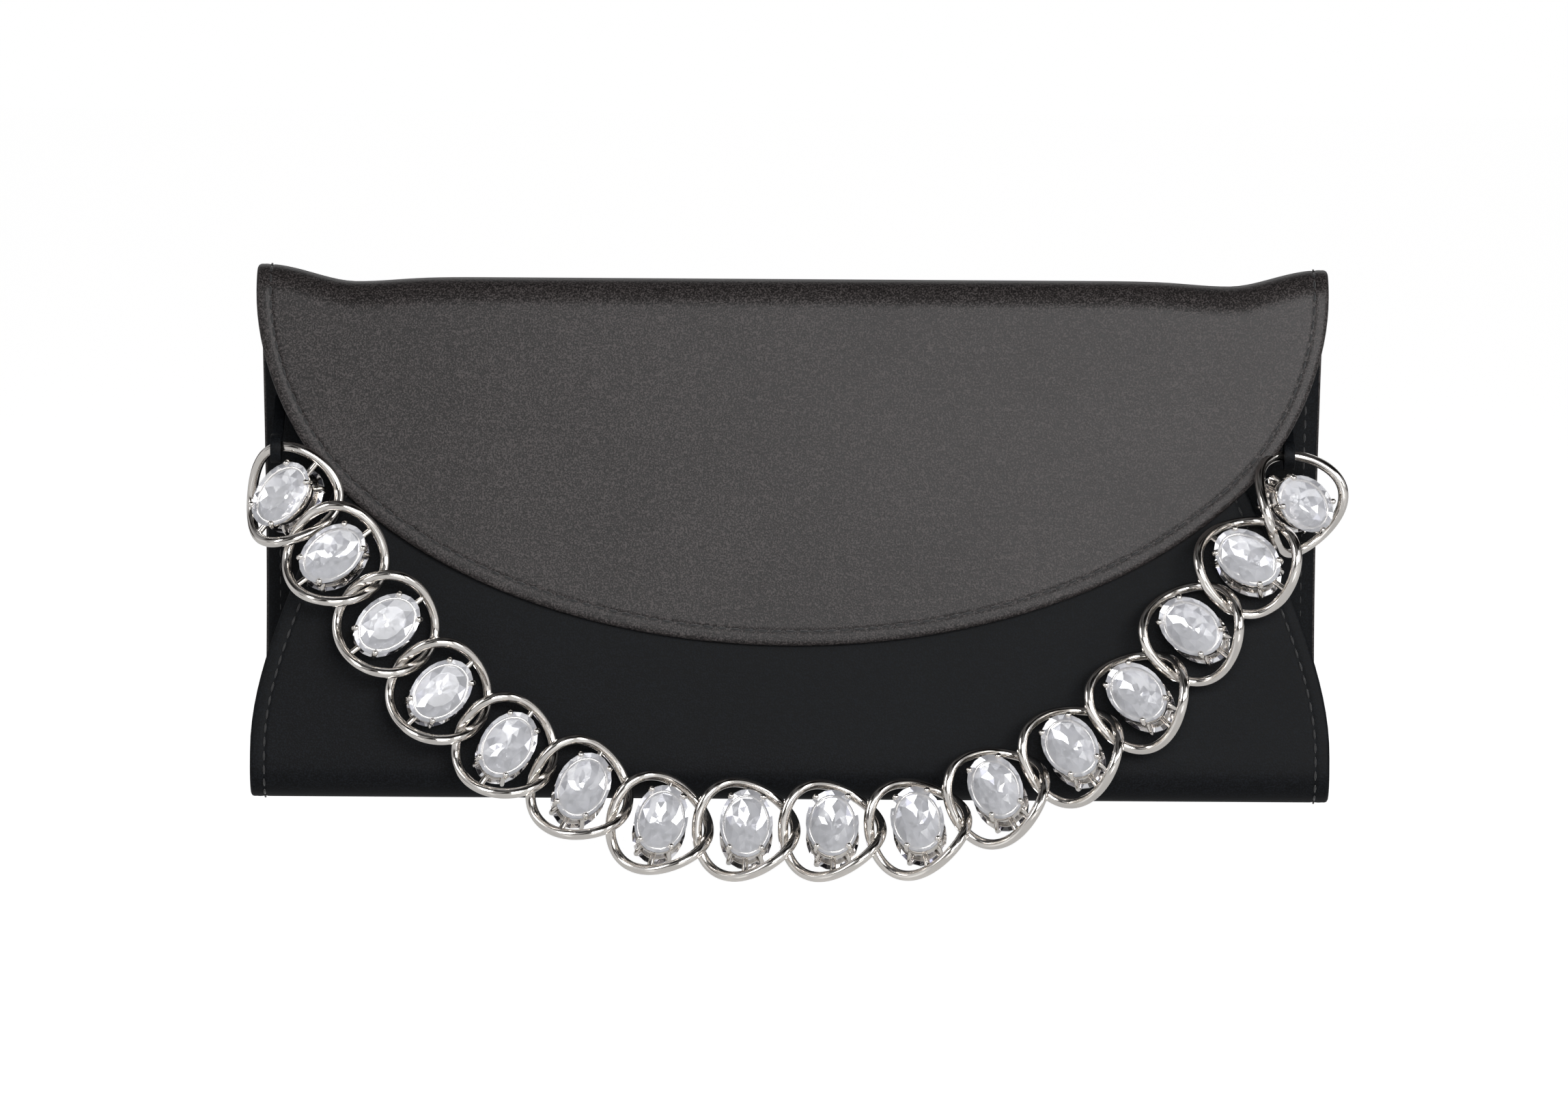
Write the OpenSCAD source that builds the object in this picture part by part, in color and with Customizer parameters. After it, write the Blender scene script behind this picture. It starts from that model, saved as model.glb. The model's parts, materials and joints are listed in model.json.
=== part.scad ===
// Satin envelope evening bag with a jewelled chain strap.
// The origin is the centre of the base, +Z is up and the front faces -Y.

/* [Body] */
// Width of the front panel at the base
base_w = 262; // [240:1:280]
// Width of the back panel
back_w = 257; // [236:1:262]
// Depth of the body at the base
base_d = 38; // [34:1:44]
// Radius of the fold along the base
base_r = 8; // [6:1:10]
// Lean of the front and back panels towards each other, in degrees
lean = 6.5; // [5.5:0.25:7]
// Height of the front panel's top edge
front_h = 112; // [106:1:113]
// Height of the back panel's top edge
back_h = 116.8; // [115:0.2:117]

/* [Leathergoods layers] */
// Thickness of the satin cover
cover_t = 0.8; // [0.6:0.1:1]
// Thickness of the stiffening board
board_t = 0.9; // [0.7:0.1:1]
// Thickness of the lining
lining_t = 0.6; // [0.4:0.1:0.7]

/* [Flap] */
// Width of the flap along the top fold
flap_w = 260.6; // [250:0.1:261]
// Height of the top fold
fold_h = 126.4; // [126:0.1:127]
// Length of the flap in front, from the fold to its tip
flap_drop = 88.2; // [70:1:95]
// Gap between the closed flap and the front panel
flap_gap = 0.5; // [0.4:0.1:1]

/* [Strap] */
// Radius of a link's ring at the middle of its wire
ring_r = 11.9; // [11.8:0.1:12]
// Radius of the ring's wire
wire_r = 1.25; // [1.1:0.05:1.3]
// Rise of the twisted ring above and below its middle plane
ring_rise = 4; // [3.6:0.1:4.2]
// Distance between the centres of two links
pitch = 20.8; // [20.7:0.05:20.9]
// Length of an oval stone
stone_l = 17.6; // [16:0.2:18]
// Width of an oval stone
stone_w = 12.8; // [12:0.2:13]
// Distance from a link's middle plane to the flat top of a stone
stone_top = 6.8; // [6.4:0.1:7]

/* [Hidden] */
STEPS = 24;
RING_STEPS = 24;
WIRE_SIDES = 6;
half_d = base_d / 2;
half_w = base_w / 2;
half_back = back_w / 2;
flap_t = cover_t + board_t + lining_t;
fold_in = cover_t + board_t;

// Half the body's depth at a height, measured to the covers' outer faces
function half_depth(z) = z >= base_r
    ? half_d - tan(lean) * (z - base_r)
    : half_d - base_r + sqrt(base_r * base_r - (base_r - z) * (base_r - z));

// Half-width of the front panel at a height: upright at the base, then running inward
flare_start = 12;
flare_slope = 0.5;
flare_round = 30;
function flare(u) = flare_slope * (sqrt(u * u + flare_round * flare_round) - flare_round);
function front_half(z) = half_w - flare(max(z - flare_start, 0));

// Half-width of the back panel: a slight waist between the base and the top
waist = 1.2;
function back_half(z) = half_back - waist * sin(180 * min(z / back_h, 1));

// ---- Flat panels, drawn in their own plane with the foot at the base fold ----

module on_front(out) {
    translate([0, -half_d, base_r])
        rotate([90 - lean, 0, 0])
            translate([0, 0, out])
                children();
}

module on_back(out) {
    mirror([0, 1, 0]) on_front(out) children();
}

function front_outline(inset, top) = let (foot = 0, head = (top - base_r) / cos(lean) - inset)
    [for (i = [0:STEPS]) let (s = foot + (head - foot) * i / STEPS)
        [front_half(s * cos(lean) + base_r) - inset, s]];

function back_outline(inset, top) = let (foot = 0, head = (top - base_r) / cos(lean) - inset)
    [for (i = [0:STEPS / 2]) let (s = foot + (head - foot) * i / (STEPS / 2))
        [back_half(s * cos(lean) + base_r) - inset, s]];

module both_sides(right) {
    n = len(right) - 1;
    polygon(concat(right, [for (i = [n:-1:0]) [-right[i][0], right[i][1]]]));
}

magnet_r = 6;
magnet_gap = 0.1;
magnet_z = 54;
magnet_s = (magnet_z - base_r) / cos(lean);

module front_cover() {
    color([0.03, 0.03, 0.035])
        on_front(-cover_t) linear_extrude(cover_t) both_sides(front_outline(0, front_h));
}

module front_board() {
    color([0.45, 0.42, 0.38])
        on_front(-fold_in)
            linear_extrude(board_t)
                difference() {
                    both_sides(front_outline(3, front_h));
                    translate([0, magnet_s]) circle(r = magnet_r + magnet_gap, $fn = 48);
                }
}

module magnet_keeper() {
    color([0.7, 0.7, 0.72])
        on_front(-fold_in)
            translate([0, magnet_s, 0]) cylinder(r = magnet_r, h = board_t, $fn = 48);
}

module back_cover() {
    color([0.03, 0.03, 0.035])
        on_back(-cover_t) linear_extrude(cover_t) both_sides(back_outline(0, back_h));
}

module back_board() {
    color([0.45, 0.42, 0.38])
        on_back(-fold_in) linear_extrude(board_t) both_sides(back_outline(3, back_h));
}

// ---- Base ----

// Draws a profile in depth and height, and runs it along the bag's width
module along_width(width) {
    rotate([90, 0, 90]) translate([0, 0, -width / 2]) linear_extrude(width) children();
}

// The panels' leaning feet reach this far below the top of the base fold
panel_lap = fold_in * sin(lean) + 0.02;

module base_section(inset) {
    for (side = [-1, 1])
        translate([side * (half_d - base_r), base_r]) circle(r = base_r - inset, $fn = 64);
    translate([-(half_d - base_r), inset]) square([2 * (half_d - base_r), base_r - inset]);
}

module base_cover() {
    color([0.03, 0.03, 0.035])
        along_width(base_w)
            intersection() {
                difference() {
                    base_section(0);
                    base_section(cover_t);
                    translate([-(half_d - base_r), base_r - 1])
                        square([2 * (half_d - base_r), base_r]);
                }
                translate([-half_d, 0]) square([base_d, base_r - panel_lap]);
            }
}

module base_board() {
    color([0.45, 0.42, 0.38])
        translate([-half_w + 3, -(half_d - base_r), cover_t])
            cube([base_w - 6, 2 * (half_d - base_r), board_t]);
}

// ---- Gussets: an inward V fold from the front panel's edge to the back panel's edge ----

gusset_t = 0.7;
crease_in = 6;
leaf_gap = 0.9;
gusset_foot = 2.4;
gusset_levels = 10;

// The section's corners at a height: three outside, then the same three inside
function gusset_section(z) = let (
        front_y = -half_depth(z) + fold_in + 0.1,
        back_y = half_depth(z) - fold_in - 0.1,
        edge = front_half(z) - 0.6,
        crease = min(front_half(z), back_half(z)) - crease_in,
        rim = max(back_half(z) - 0.6, crease + 2))
    [[edge, front_y, z], [crease, back_y - gusset_t - leaf_gap, z], [rim, back_y - gusset_t, z],
     [rim, back_y, z], [crease - gusset_t, back_y - leaf_gap + 0.1, z],
     [edge - gusset_t, front_y, z]];

// A closed tube through rings of points, each ring with the same number of corners
module loft(rings) {
    n = len(rings[0]);
    m = len(rings);
    points = [for (ring = rings) each ring];
    sides = [for (j = [0:m - 2]) for (i = [0:n - 1]) let (k = (i + 1) % n)
        each [[j * n + i, (j + 1) * n + i, (j + 1) * n + k],
              [j * n + i, (j + 1) * n + k, j * n + k]]];
    polyhedron(points, concat(sides, [[for (i = [0:n - 1]) i]],
        [[for (i = [n - 1:-1:0]) (m - 1) * n + i]]), convexity = 6);
}

gusset_top = 110;
module gusset_right() {
    color([0.03, 0.03, 0.035])
        loft([for (j = [0:gusset_levels])
            gusset_section(gusset_foot + (gusset_top - gusset_foot) * j / gusset_levels)]);
}

module gusset_left() {
    mirror([1, 0, 0]) gusset_right();
}

// ---- Lining: an open pouch inside the boards and gussets ----

lining_top = 111;
lining_foot = 2.2;
lining_side = 9.5;

module pouch_block(inset, top) {
    z0 = lining_foot + inset;
    gap = fold_in + 0.2 + inset;
    steps = 10;
    side = [for (i = [0:steps]) let (z = z0 + (top - z0) * i / steps)
        [front_half(z) - lining_side - inset, z]];
    intersection() {
        along_width(base_w)
            polygon([[-half_d + base_r / 2 + gap, z0], [half_d - base_r / 2 - gap, z0],
                     [half_depth(base_r) - gap, base_r], [half_depth(top) - gap, top],
                     [-half_depth(top) + gap, top], [-half_depth(base_r) + gap, base_r]]);
        translate([0, half_d, 0]) rotate([90, 0, 0]) linear_extrude(base_d) both_sides(side);
    }
}

module lining() {
    color([0.12, 0.11, 0.12])
        difference() {
            pouch_block(0, lining_top);
            pouch_block(lining_t, lining_top + 1);
        }
}

pocket_w = 120;
pocket_h = 58;
pocket_s = 36;
module slip_pocket() {
    color([0.12, 0.11, 0.12])
        on_back(-(fold_in + 0.2 + 2 * lining_t + 0.05))
            translate([-pocket_w / 2, pocket_s, 0]) cube([pocket_w, pocket_h, lining_t]);
}

// ---- Flap: three layers over the top fold, cut to a half-ellipse in front ----

fold_ri = 5.46;
fold_ro = fold_ri + flap_t;
fold_z = fold_h - fold_ro;
fold_y = -(half_d * cos(lean) + base_r * sin(lean) + flap_gap - fold_ri - fold_z * sin(lean))
    / cos(lean);
flap_run = 84;
shoulder_h = 0.3;

// One layer of the flap as a strip between two radii of the fold
module flap_strip(r_in, r_out) {
    translate([fold_y, fold_z]) {
        intersection() {
            difference() {
                circle(r = r_out, $fn = 96);
                circle(r = r_in, $fn = 96);
            }
            polygon([[0, 0], [3 * fold_ro, 0], [0, 3 * fold_ro],
                     [-3 * fold_ro * cos(lean), 3 * fold_ro * sin(lean)]]);
        }
        rotate(180 - lean) translate([r_in, -0.01]) square([r_out - r_in, flap_run]);
    }
}

module flap_layer(r_in, r_out, inset) {
    a = flap_w / 2 - inset;
    shoulder = fold_h - shoulder_h;
    b = flap_drop - shoulder_h - inset;
    arc = [for (i = [0:STEPS]) let (q = 180 + 180 * i / STEPS)
        [a * cos(q), shoulder + b * sin(q)]];
    intersection() {
        along_width(flap_w - 0.2) flap_strip(r_in, r_out);
        translate([0, half_d, 0])
            rotate([90, 0, 0])
                linear_extrude(2 * base_d)
                    polygon(concat(arc, [[a, fold_h + 1], [-a, fold_h + 1]]));
    }
}

module flap_cover() {
    color([0.03, 0.03, 0.035]) flap_layer(fold_ro - cover_t, fold_ro, 0);
}

module flap_magnet_place(extra) {
    translate([0, fold_y, fold_z])
        rotate([90 - lean, 0, 0])
            translate([0, -(fold_z - magnet_z) / cos(lean), fold_ri + lining_t])
                cylinder(r = magnet_r + extra, h = board_t, $fn = 48);
}

module flap_board() {
    color([0.45, 0.42, 0.38])
        difference() {
            flap_layer(fold_ri + lining_t, fold_ri + lining_t + board_t, 4);
            flap_magnet_place(magnet_gap);
        }
}

module flap_magnet() {
    color([0.7, 0.7, 0.72]) flap_magnet_place(0);
}

module flap_lining() {
    color([0.05, 0.05, 0.055]) flap_layer(fold_ri, fold_ri + lining_t, 1.5);
}

// ---- Chain strap ----

// Direction of each step from the strap's middle towards its right end, in degrees above the
// horizontal, within the plane the strap hangs in
strap_bends = [2.8, 23, 29.3, 39.2, 51.5, 52];
// How far each link's face is rolled upwards about the chain, middle link first, right and left
roll_right = [26, 26, 25, 24, 24, 20, 14];
roll_left = [22, 21, 18, 13, 9, 6, 4];
// Height of the two lowest links' centres and their stand-off from the front panel's plane
strap_foot = -5.3;
stand_off = 9.6;

function unit(v) = v / norm(v);
function flip(v) = [-v[0], v[1], v[2]];
function strap_up() = [0, sin(lean), cos(lean)];
function strap_out() = [0, -cos(lean), sin(lean)];

// Centres of the right half's hanging links, the middle one first
function strap_path(n) = n == 0
    ? [pitch / 2, -half_depth(base_r) - tan(lean) * (base_r - strap_foot) - stand_off / cos(lean),
       strap_foot]
    : strap_path(n - 1) + pitch * cos(strap_bends[n - 1]) * [1, 0, 0]
        + pitch * sin(strap_bends[n - 1]) * strap_up();

// The end links sit in the recess of the gussets, half under the flap: centre, chain direction
// and face direction of each
end_right = [[122.3, -13.8, 73.1], [0.345, 0.316, 0.884], [0.555, -0.828, 0.079]];
end_left = [[-122.1, -13.5, 73.1], [0.658, -0.485, -0.576], [-0.402, -0.873, 0.276]];

// Square frame [direction, side, face] from a chain direction and a rough face direction
function square_frame(along, face) = let (
        t = unit(along),
        n = unit(face - (face * t) * t))
    [t, cross(n, t), n];

// Place of link i: 1 at the left end, 16 at the right, as [centre, direction, side, face]
function link_place(i) = i == 16 ? concat([end_right[0]], square_frame(end_right[1], end_right[2]))
    : i == 1 ? concat([end_left[0]], square_frame(end_left[1], end_left[2]))
    : let (
        k = i > 8 ? i - 9 : 8 - i,
        here = link_centre(i),
        t = unit(unit(here - link_centre(i - 1)) + unit(link_centre(i + 1) - here)),
        level = square_frame(t, strap_out()),
        roll = i > 8 ? roll_right[k] : roll_left[k])
    concat([here], square_frame(t, level[2] * cos(roll) + level[1] * sin(roll)));

function link_centre(i) = i == 16 ? end_right[0] : i == 1 ? end_left[0]
    : i > 8 ? strap_path(i - 9) : flip(strap_path(8 - i));

module at_link(i) {
    p = link_place(i);
    multmatrix([[p[1][0], p[2][0], p[3][0], p[0][0]],
                [p[1][1], p[2][1], p[3][1], p[0][1]],
                [p[1][2], p[2][2], p[3][2], p[0][2]],
                [0, 0, 0, 1]])
        children();
}

// The ring of a link: a round wire on a circle that rises and falls twice, so that neighbours
// pass over and under each other
function ring_point(a) = [ring_r * cos(a), ring_r * sin(a), -ring_rise * sin(2 * a)];
function ring_way(a) = unit([-ring_r * sin(a), ring_r * cos(a), -2 * ring_rise * cos(2 * a)]);

module wire_ring() {
    n = WIRE_SIDES;
    m = RING_STEPS;
    points = [for (j = [0:m - 1]) let (
            a = 360 * j / m,
            out = [cos(a), sin(a), 0],
            up = cross(out, ring_way(a)))
        for (i = [0:n - 1]) let (q = 360 * i / n)
            ring_point(a) + wire_r * (cos(q) * out + sin(q) * up)];
    faces = [for (j = [0:m - 1]) for (i = [0:n - 1]) let (k = (i + 1) % n, l = (j + 1) % m)
        each [[j * n + i, j * n + k, l * n + k], [j * n + i, l * n + k, l * n + i]]];
    polyhedron(points, faces, convexity = 8);
}

stone_girdle = 2.5;
stone_edge = 0.4;
stone_foot = 0.95;
stone_table = 0.58;

// An oval stone: point, girdle and table
module stone() {
    function oval(z, f) = [for (i = [0:11])
        [f * stone_w / 2 * cos(30 * i), f * stone_l / 2 * sin(30 * i), z]];
    loft([oval(stone_foot, 0.12), oval(stone_top - stone_girdle - stone_edge, 1),
          oval(stone_top - stone_girdle, 1), oval(stone_top, stone_table)]);
}

module stone_pair() {
    stone();
    mirror([0, 0, 1]) stone();
}

bridge_w = 4;
plate = [10.2, 17.2];
bridge_t = 1.8;
post = [4.55, 7.9];
post_r = 0.65;
post_top = 5.5;
claw = [1.6, 0.9, 0.6];

// The frame that carries both stones: a plate across the ring, and four posts whose claws
// reach over the stones' edges
module setting() {
    translate([0, 0, -bridge_t / 2])
        linear_extrude(bridge_t)
            polygon([for (q = [[1, 1], [-1, 1], [-1, -1], [1, -1]])
                let (inner = [q[0] * plate[0] / 2, q[1] * plate[1] / 2],
                     outer = [q[0] * bridge_w / 2, q[1] * ring_r])
                each q[0] * q[1] > 0
                    ? [inner, [outer[0], inner[1]], outer]
                    : [outer, [outer[0], inner[1]], inner]]);
    for (x = [-1, 1])
        for (y = [-1, 1])
            translate([x * post[0], y * post[1], 0])
                rotate(atan2(y * post[1], x * post[0])) {
                    translate([0, 0, -post_top]) cylinder(r = post_r, h = 2 * post_top, $fn = 8);
                    for (side = [-1, 1])
                        translate([-claw[0] / 2, 0, side * (post_top - claw[2] / 2 - 0.05)])
                            cube(claw, center = true);
                }
}

module link(i) {
    color([0.85, 0.84, 0.82])
        at_link(i)
            union() {
                wire_ring();
                setting();
            }
}

module stones(i) {
    color([0.95, 0.96, 1]) at_link(i) stone_pair();
}

// ---- Strap tabs: satin loops sewn to the gussets' back leaves, round the end links' wires ----

tab_w = 2.6;
tab_t = 1.2;
tab_hole = 2.7;
tab_foot_z = 96;
tab_foot_h = 12;
eye_right = [120.8, -10.2, 84.65];
eye_left = [-125, -12.7, 85.05];

module tab(eye) {
    foot = [half_depth(tab_foot_z) - fold_in - gusset_t - 0.45 - tab_t, tab_foot_z];
    start = [eye[1], eye[2]];
    way = (foot - start) / norm(foot - start);
    side = [-way[1], way[0]] * tab_t;
    rear = [tab_t, 0];
    head = foot + tab_foot_h * [-sin(lean), cos(lean)];
    color([0.03, 0.03, 0.035])
        translate([eye[0] - tab_w / 2, 0, 0])
            rotate([90, 0, 90])
                linear_extrude(tab_w)
                    difference() {
                        union() {
                            translate(start) circle(r = tab_hole + 0.8, $fn = 48);
                            polygon([start - side / 2, foot + rear, foot + side, start + side]);
                            polygon([foot, foot + rear, head + rear, head]);
                        }
                        translate(start) circle(r = tab_hole, $fn = 48);
                    }
}

module tab_left() {
    tab(eye_left);
}

module tab_right() {
    tab(eye_right);
}

front_cover();
front_board();
back_cover();
back_board();
base_cover();
base_board();
gusset_left();
gusset_right();
lining();
slip_pocket();
magnet_keeper();
flap_cover();
flap_board();
flap_lining();
flap_magnet();
tab_left();
tab_right();
for (i = [1:16]) link(i);
for (i = [1:16]) stones(i);
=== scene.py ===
"""Satin envelope evening bag with a jewelled chain strap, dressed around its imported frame."""

import json
import math

import bpy
import numpy as np
from bpy.props import FloatProperty, FloatVectorProperty, IntProperty, PointerProperty
from mathutils import Matrix, Quaternion, Vector


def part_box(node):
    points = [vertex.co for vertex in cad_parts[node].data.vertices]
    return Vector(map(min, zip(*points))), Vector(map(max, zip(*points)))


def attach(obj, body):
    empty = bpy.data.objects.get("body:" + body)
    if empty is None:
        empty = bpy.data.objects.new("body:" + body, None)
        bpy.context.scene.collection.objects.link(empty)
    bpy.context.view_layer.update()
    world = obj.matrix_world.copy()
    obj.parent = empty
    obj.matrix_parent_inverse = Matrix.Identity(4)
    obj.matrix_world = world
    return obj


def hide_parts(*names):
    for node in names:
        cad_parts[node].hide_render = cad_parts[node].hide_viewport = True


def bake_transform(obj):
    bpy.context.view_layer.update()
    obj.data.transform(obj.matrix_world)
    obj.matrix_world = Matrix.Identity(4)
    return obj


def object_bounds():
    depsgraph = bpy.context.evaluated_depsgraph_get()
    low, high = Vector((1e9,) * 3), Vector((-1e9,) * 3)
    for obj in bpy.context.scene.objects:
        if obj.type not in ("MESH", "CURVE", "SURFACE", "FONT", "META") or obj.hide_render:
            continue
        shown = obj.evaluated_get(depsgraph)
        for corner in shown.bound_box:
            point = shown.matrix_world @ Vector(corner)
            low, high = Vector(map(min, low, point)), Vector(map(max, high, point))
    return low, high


bl_info = {
    "name": "Evening Bag",
    "version": (1, 0, 0),
    "blender": (4, 5, 0),
    "location": "View3D > Sidebar > Evening Bag",
    "description": "Builds the satin, the stitching and the jewelled strap of an evening bag",
    "category": "Add Mesh",
}

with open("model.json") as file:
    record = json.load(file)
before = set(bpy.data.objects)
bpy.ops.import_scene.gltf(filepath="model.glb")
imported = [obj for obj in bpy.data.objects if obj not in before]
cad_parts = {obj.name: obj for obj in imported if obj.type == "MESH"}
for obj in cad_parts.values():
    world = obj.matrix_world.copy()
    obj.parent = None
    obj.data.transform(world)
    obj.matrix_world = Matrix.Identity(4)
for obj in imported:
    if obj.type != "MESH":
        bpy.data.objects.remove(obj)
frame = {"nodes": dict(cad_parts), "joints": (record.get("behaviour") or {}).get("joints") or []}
CAD_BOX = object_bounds()

BASE_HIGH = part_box("base_cover")[1]
FLAP_LOW, FLAP_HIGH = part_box("flap_cover")
FRONT_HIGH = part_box("front_cover")[1]
BACK_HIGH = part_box("back_cover")[1]
LINING_LOW, LINING_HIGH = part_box("lining")
LINK_COUNT = 16
MERGE_DISTANCE = 0.00001


def length(name, default, description):
    """A length in metres, shown in the scene's units."""
    return FloatProperty(name=name, default=default, description=description, unit="LENGTH",
                         precision=5)


def colour(name, default, description):
    """A colour that a user may change."""
    return FloatVectorProperty(name=name, default=default, description=description,
                               subtype="COLOR", size=3, min=0.0, max=1.0)


class BagBody(bpy.types.PropertyGroup):
    """Sizes of the body's panels."""

    half_width: length("Half width", BASE_HIGH.x, "Half the front panel's width at the base")
    half_depth: length("Half depth", BASE_HIGH.y, "Half the body's depth at the base")
    base_fold: length("Base fold", 0.008, "Radius of the fold along the base")
    front_top: length("Front height", FRONT_HIGH.z, "Height of the front panel's top edge")
    back_half_width: length("Back half width", 0.1298, "Half the back panel's width")
    waist: length("Waist", 0.0008, "How far the back panel's sides draw in")
    flare_start: length("Flare start", 0.012, "Height at which the front panel's sides turn in")
    flare_round: length("Flare round", 0.030, "How softly the sides turn in")
    flare_slope: FloatProperty(name="Flare slope", default=0.5,
                               description="How far the front panel's sides run in for each "
                                           "metre of height")
    lean: FloatProperty(name="Lean", default=math.radians(6.5), subtype="ANGLE",
                        description="Lean of the front and back panels towards each other")
    satin: length("Satin", 0.0008, "Thickness of the satin with its backing")
    edge: length("Turned edge", 0.00175, "Thickness of a panel's turned edge")
    stitch_inset: length("Stitch inset", 0.0035, "Distance from an edge to its stitches")
    gusset: length("Gusset", 0.0007, "Thickness of the gussets")


class BagFlap(bpy.types.PropertyGroup):
    """Sizes of the flap."""

    half_width: length("Half width", FLAP_HIGH.x, "Half the flap's width")
    fold_radius: length("Fold radius", 0.00776, "Radius of the top fold at the satin's face")
    fold_height: length("Fold height", FLAP_HIGH.z, "Height of the top fold at the middle")
    tip_height: length("Tip height", FLAP_LOW.z, "Height of the flap's lowest point")
    edge: length("Turned edge", 0.0022, "Thickness of the flap's turned edge")
    ear_rise: length("Ear rise", 0.0034, "How far the fold's two ends stand up")
    ear_start: length("Ear start", 0.106, "Distance from the middle at which the ends rise")
    ear_dip: length("Ear dip", 0.0013, "How far the fold sinks just inside its ends")
    ear_reach: length("Ear reach", 0.050, "How far down the flap the rise fades away")
    sag: length("Sag", 0.00022, "Depth of the soft waves in the flap's face")


class BagStrap(bpy.types.PropertyGroup):
    """Sizes of the strap's links."""

    ring_radius: length("Ring radius", 0.0119, "Radius of a ring at the middle of its wire")
    wire_radius: length("Wire radius", 0.00125, "Radius of the ring's wire")
    rise: length("Rise", 0.004, "Rise of the twisted ring above and below its middle")
    pitch: length("Pitch", 0.0208, "Distance between the centres of two links")
    foot: length("Foot", -0.0053, "Height of the two lowest links' centres")
    stand_off: length("Stand-off", 0.0096, "Distance from the front panel to the links' centres")
    cup_scale: FloatProperty(name="Cup scale", default=0.85,
                             description="Size of the cups as a share of the stone's outline")
    cup_height: length("Cup height", 0.0033, "Height of a cup on each side of the ring")
    cup_wall: length("Cup wall", 0.0005, "Thickness of the cups' wall")
    prong_radius: length("Prong radius", 0.00058, "Radius of a prong")
    ball_radius: length("Ball radius", 0.00074, "Radius of a prong's round tip")


class BagStones(bpy.types.PropertyGroup):
    """Sizes of the oval stones."""

    stone_length: length("Length", 0.0176, "Length of a stone")
    stone_width: length("Width", 0.0128, "Width of a stone")
    top: length("Top", 0.0068, "Distance from a link's middle plane to a stone's flat top")
    crown: length("Crown", 0.0025, "Height of the crown above the girdle")
    girdle: length("Girdle", 0.0004, "Height of the girdle")
    foot: length("Foot", 0.00095, "Distance from the middle plane to a stone's point")
    sides: IntProperty(name="Sides", default=12, min=8, max=16,
                       description="Number of main facets round a stone")


class BagFinish(bpy.types.PropertyGroup):
    """Colours of the finishes."""

    # Painted sheen: the flap's charcoal tone is the body's black satin made lighter to stand in
    # for the sheen it catches.
    flap_satin_painted_sheen: colour("Flap satin", (0.021, 0.0185, 0.0183), "The flap's charcoal satin")
    body_satin: colour("Body satin", (0.0030, 0.0036, 0.0046), "The body's deep black satin")
    lining: colour("Lining", (0.018, 0.017, 0.019), "The twill lining")
    board: colour("Board", (0.42, 0.38, 0.32), "The stiffening board")
    silver: colour("Silver", (0.86, 0.825, 0.785), "The strap's polished plating")
    magnet: colour("Magnet", (0.62, 0.62, 0.64), "The magnets' nickel")
    # Near-black thread: the stitches' dark tone also stands in for painted shade in the needle
    # holes.
    thread_and_hole_shade: colour("Thread", (0.0035, 0.0037, 0.0042), "The sewing thread")


class BagStage(bpy.types.PropertyGroup):
    """The camera and the floor."""

    distance: length("Distance", 1.9, "Distance from the camera to the bag")
    view_width: length("View width", 0.3792, "Width of the view at the bag")
    elevation: FloatProperty(name="Elevation", default=math.radians(4.5), subtype="ANGLE",
                             description="Camera's height above the horizon")
    roll: FloatProperty(name="Roll", default=math.radians(0.36), subtype="ANGLE",
                        description="Camera's turn about its own line of sight")
    target: FloatVectorProperty(name="Target", default=(-0.0017, -0.02, 0.0620), size=3,
                                subtype="TRANSLATION", description="Point the camera looks at")


# ---- Node trees and shader maths ----


class Flow:
    """A number that runs through a node tree; sums on it add Math nodes."""

    def __init__(self, tree, socket):
        """Holds a socket of a tree."""
        self.tree = tree
        self.socket = socket

    def math(self, operation, first, second):
        """A Math node on two numbers or flows."""
        return self.tree.add("ShaderNodeMath", {"operation": operation}, {0: first, 1: second})

    def __add__(self, other):
        return self.math("ADD", self, other)

    def __sub__(self, other):
        return self.math("SUBTRACT", self, other)

    def __rsub__(self, other):
        return self.math("SUBTRACT", other, self)

    def __mul__(self, other):
        return self.math("MULTIPLY", self, other)

    def __pow__(self, other):
        return self.math("POWER", self, other)

    __radd__ = __add__
    __rmul__ = __mul__


class Tree:
    """A node tree being built."""

    def __init__(self, tree):
        """Holds the node tree that nodes are added to."""
        self.tree = tree

    def add(self, kind, settings=None, inputs=None, out=0):
        """Adds a node: its settings first, then the values or links of its sockets."""
        node = self.tree.nodes.new(kind)
        for key, value in (settings or {}).items():
            if key == "stops":
                node.color_ramp.elements[0].position = value[0][0]
                node.color_ramp.elements[0].color = value[0][1]
                node.color_ramp.elements[1].position = value[1][0]
                node.color_ramp.elements[1].color = value[1][1]
                for position, tone in value[2:]:
                    node.color_ramp.elements.new(position).color = tone
            else:
                setattr(node, key, value)
        for key, value in (inputs or {}).items():
            if isinstance(value, Flow):
                self.tree.links.new(value.socket, node.inputs[key])
            else:
                node.inputs[key].default_value = value
        return Flow(self, node.outputs[out]) if node.outputs else None

    def join(self, *parts):
        """Joins several geometries."""
        node = self.tree.nodes.new("GeometryNodeJoinGeometry")
        for part in reversed(parts):
            self.tree.links.new(part.socket, node.inputs[0])
        return Flow(self, node.outputs[0])


def new_material(name):
    """An empty material with a Principled shader: returns it, its tree and the shader's node."""
    made = bpy.data.materials.new(name)
    made.use_nodes = True
    made.node_tree.nodes.clear()
    tree = Tree(made.node_tree)
    surface = tree.add("ShaderNodeBsdfPrincipled")
    tree.add("ShaderNodeOutputMaterial", None, {"Surface": surface})
    return made, tree, surface.socket.node


def link(tree, flow, socket):
    """Links a flow to a socket."""
    tree.tree.links.new(flow.socket, socket)


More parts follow.
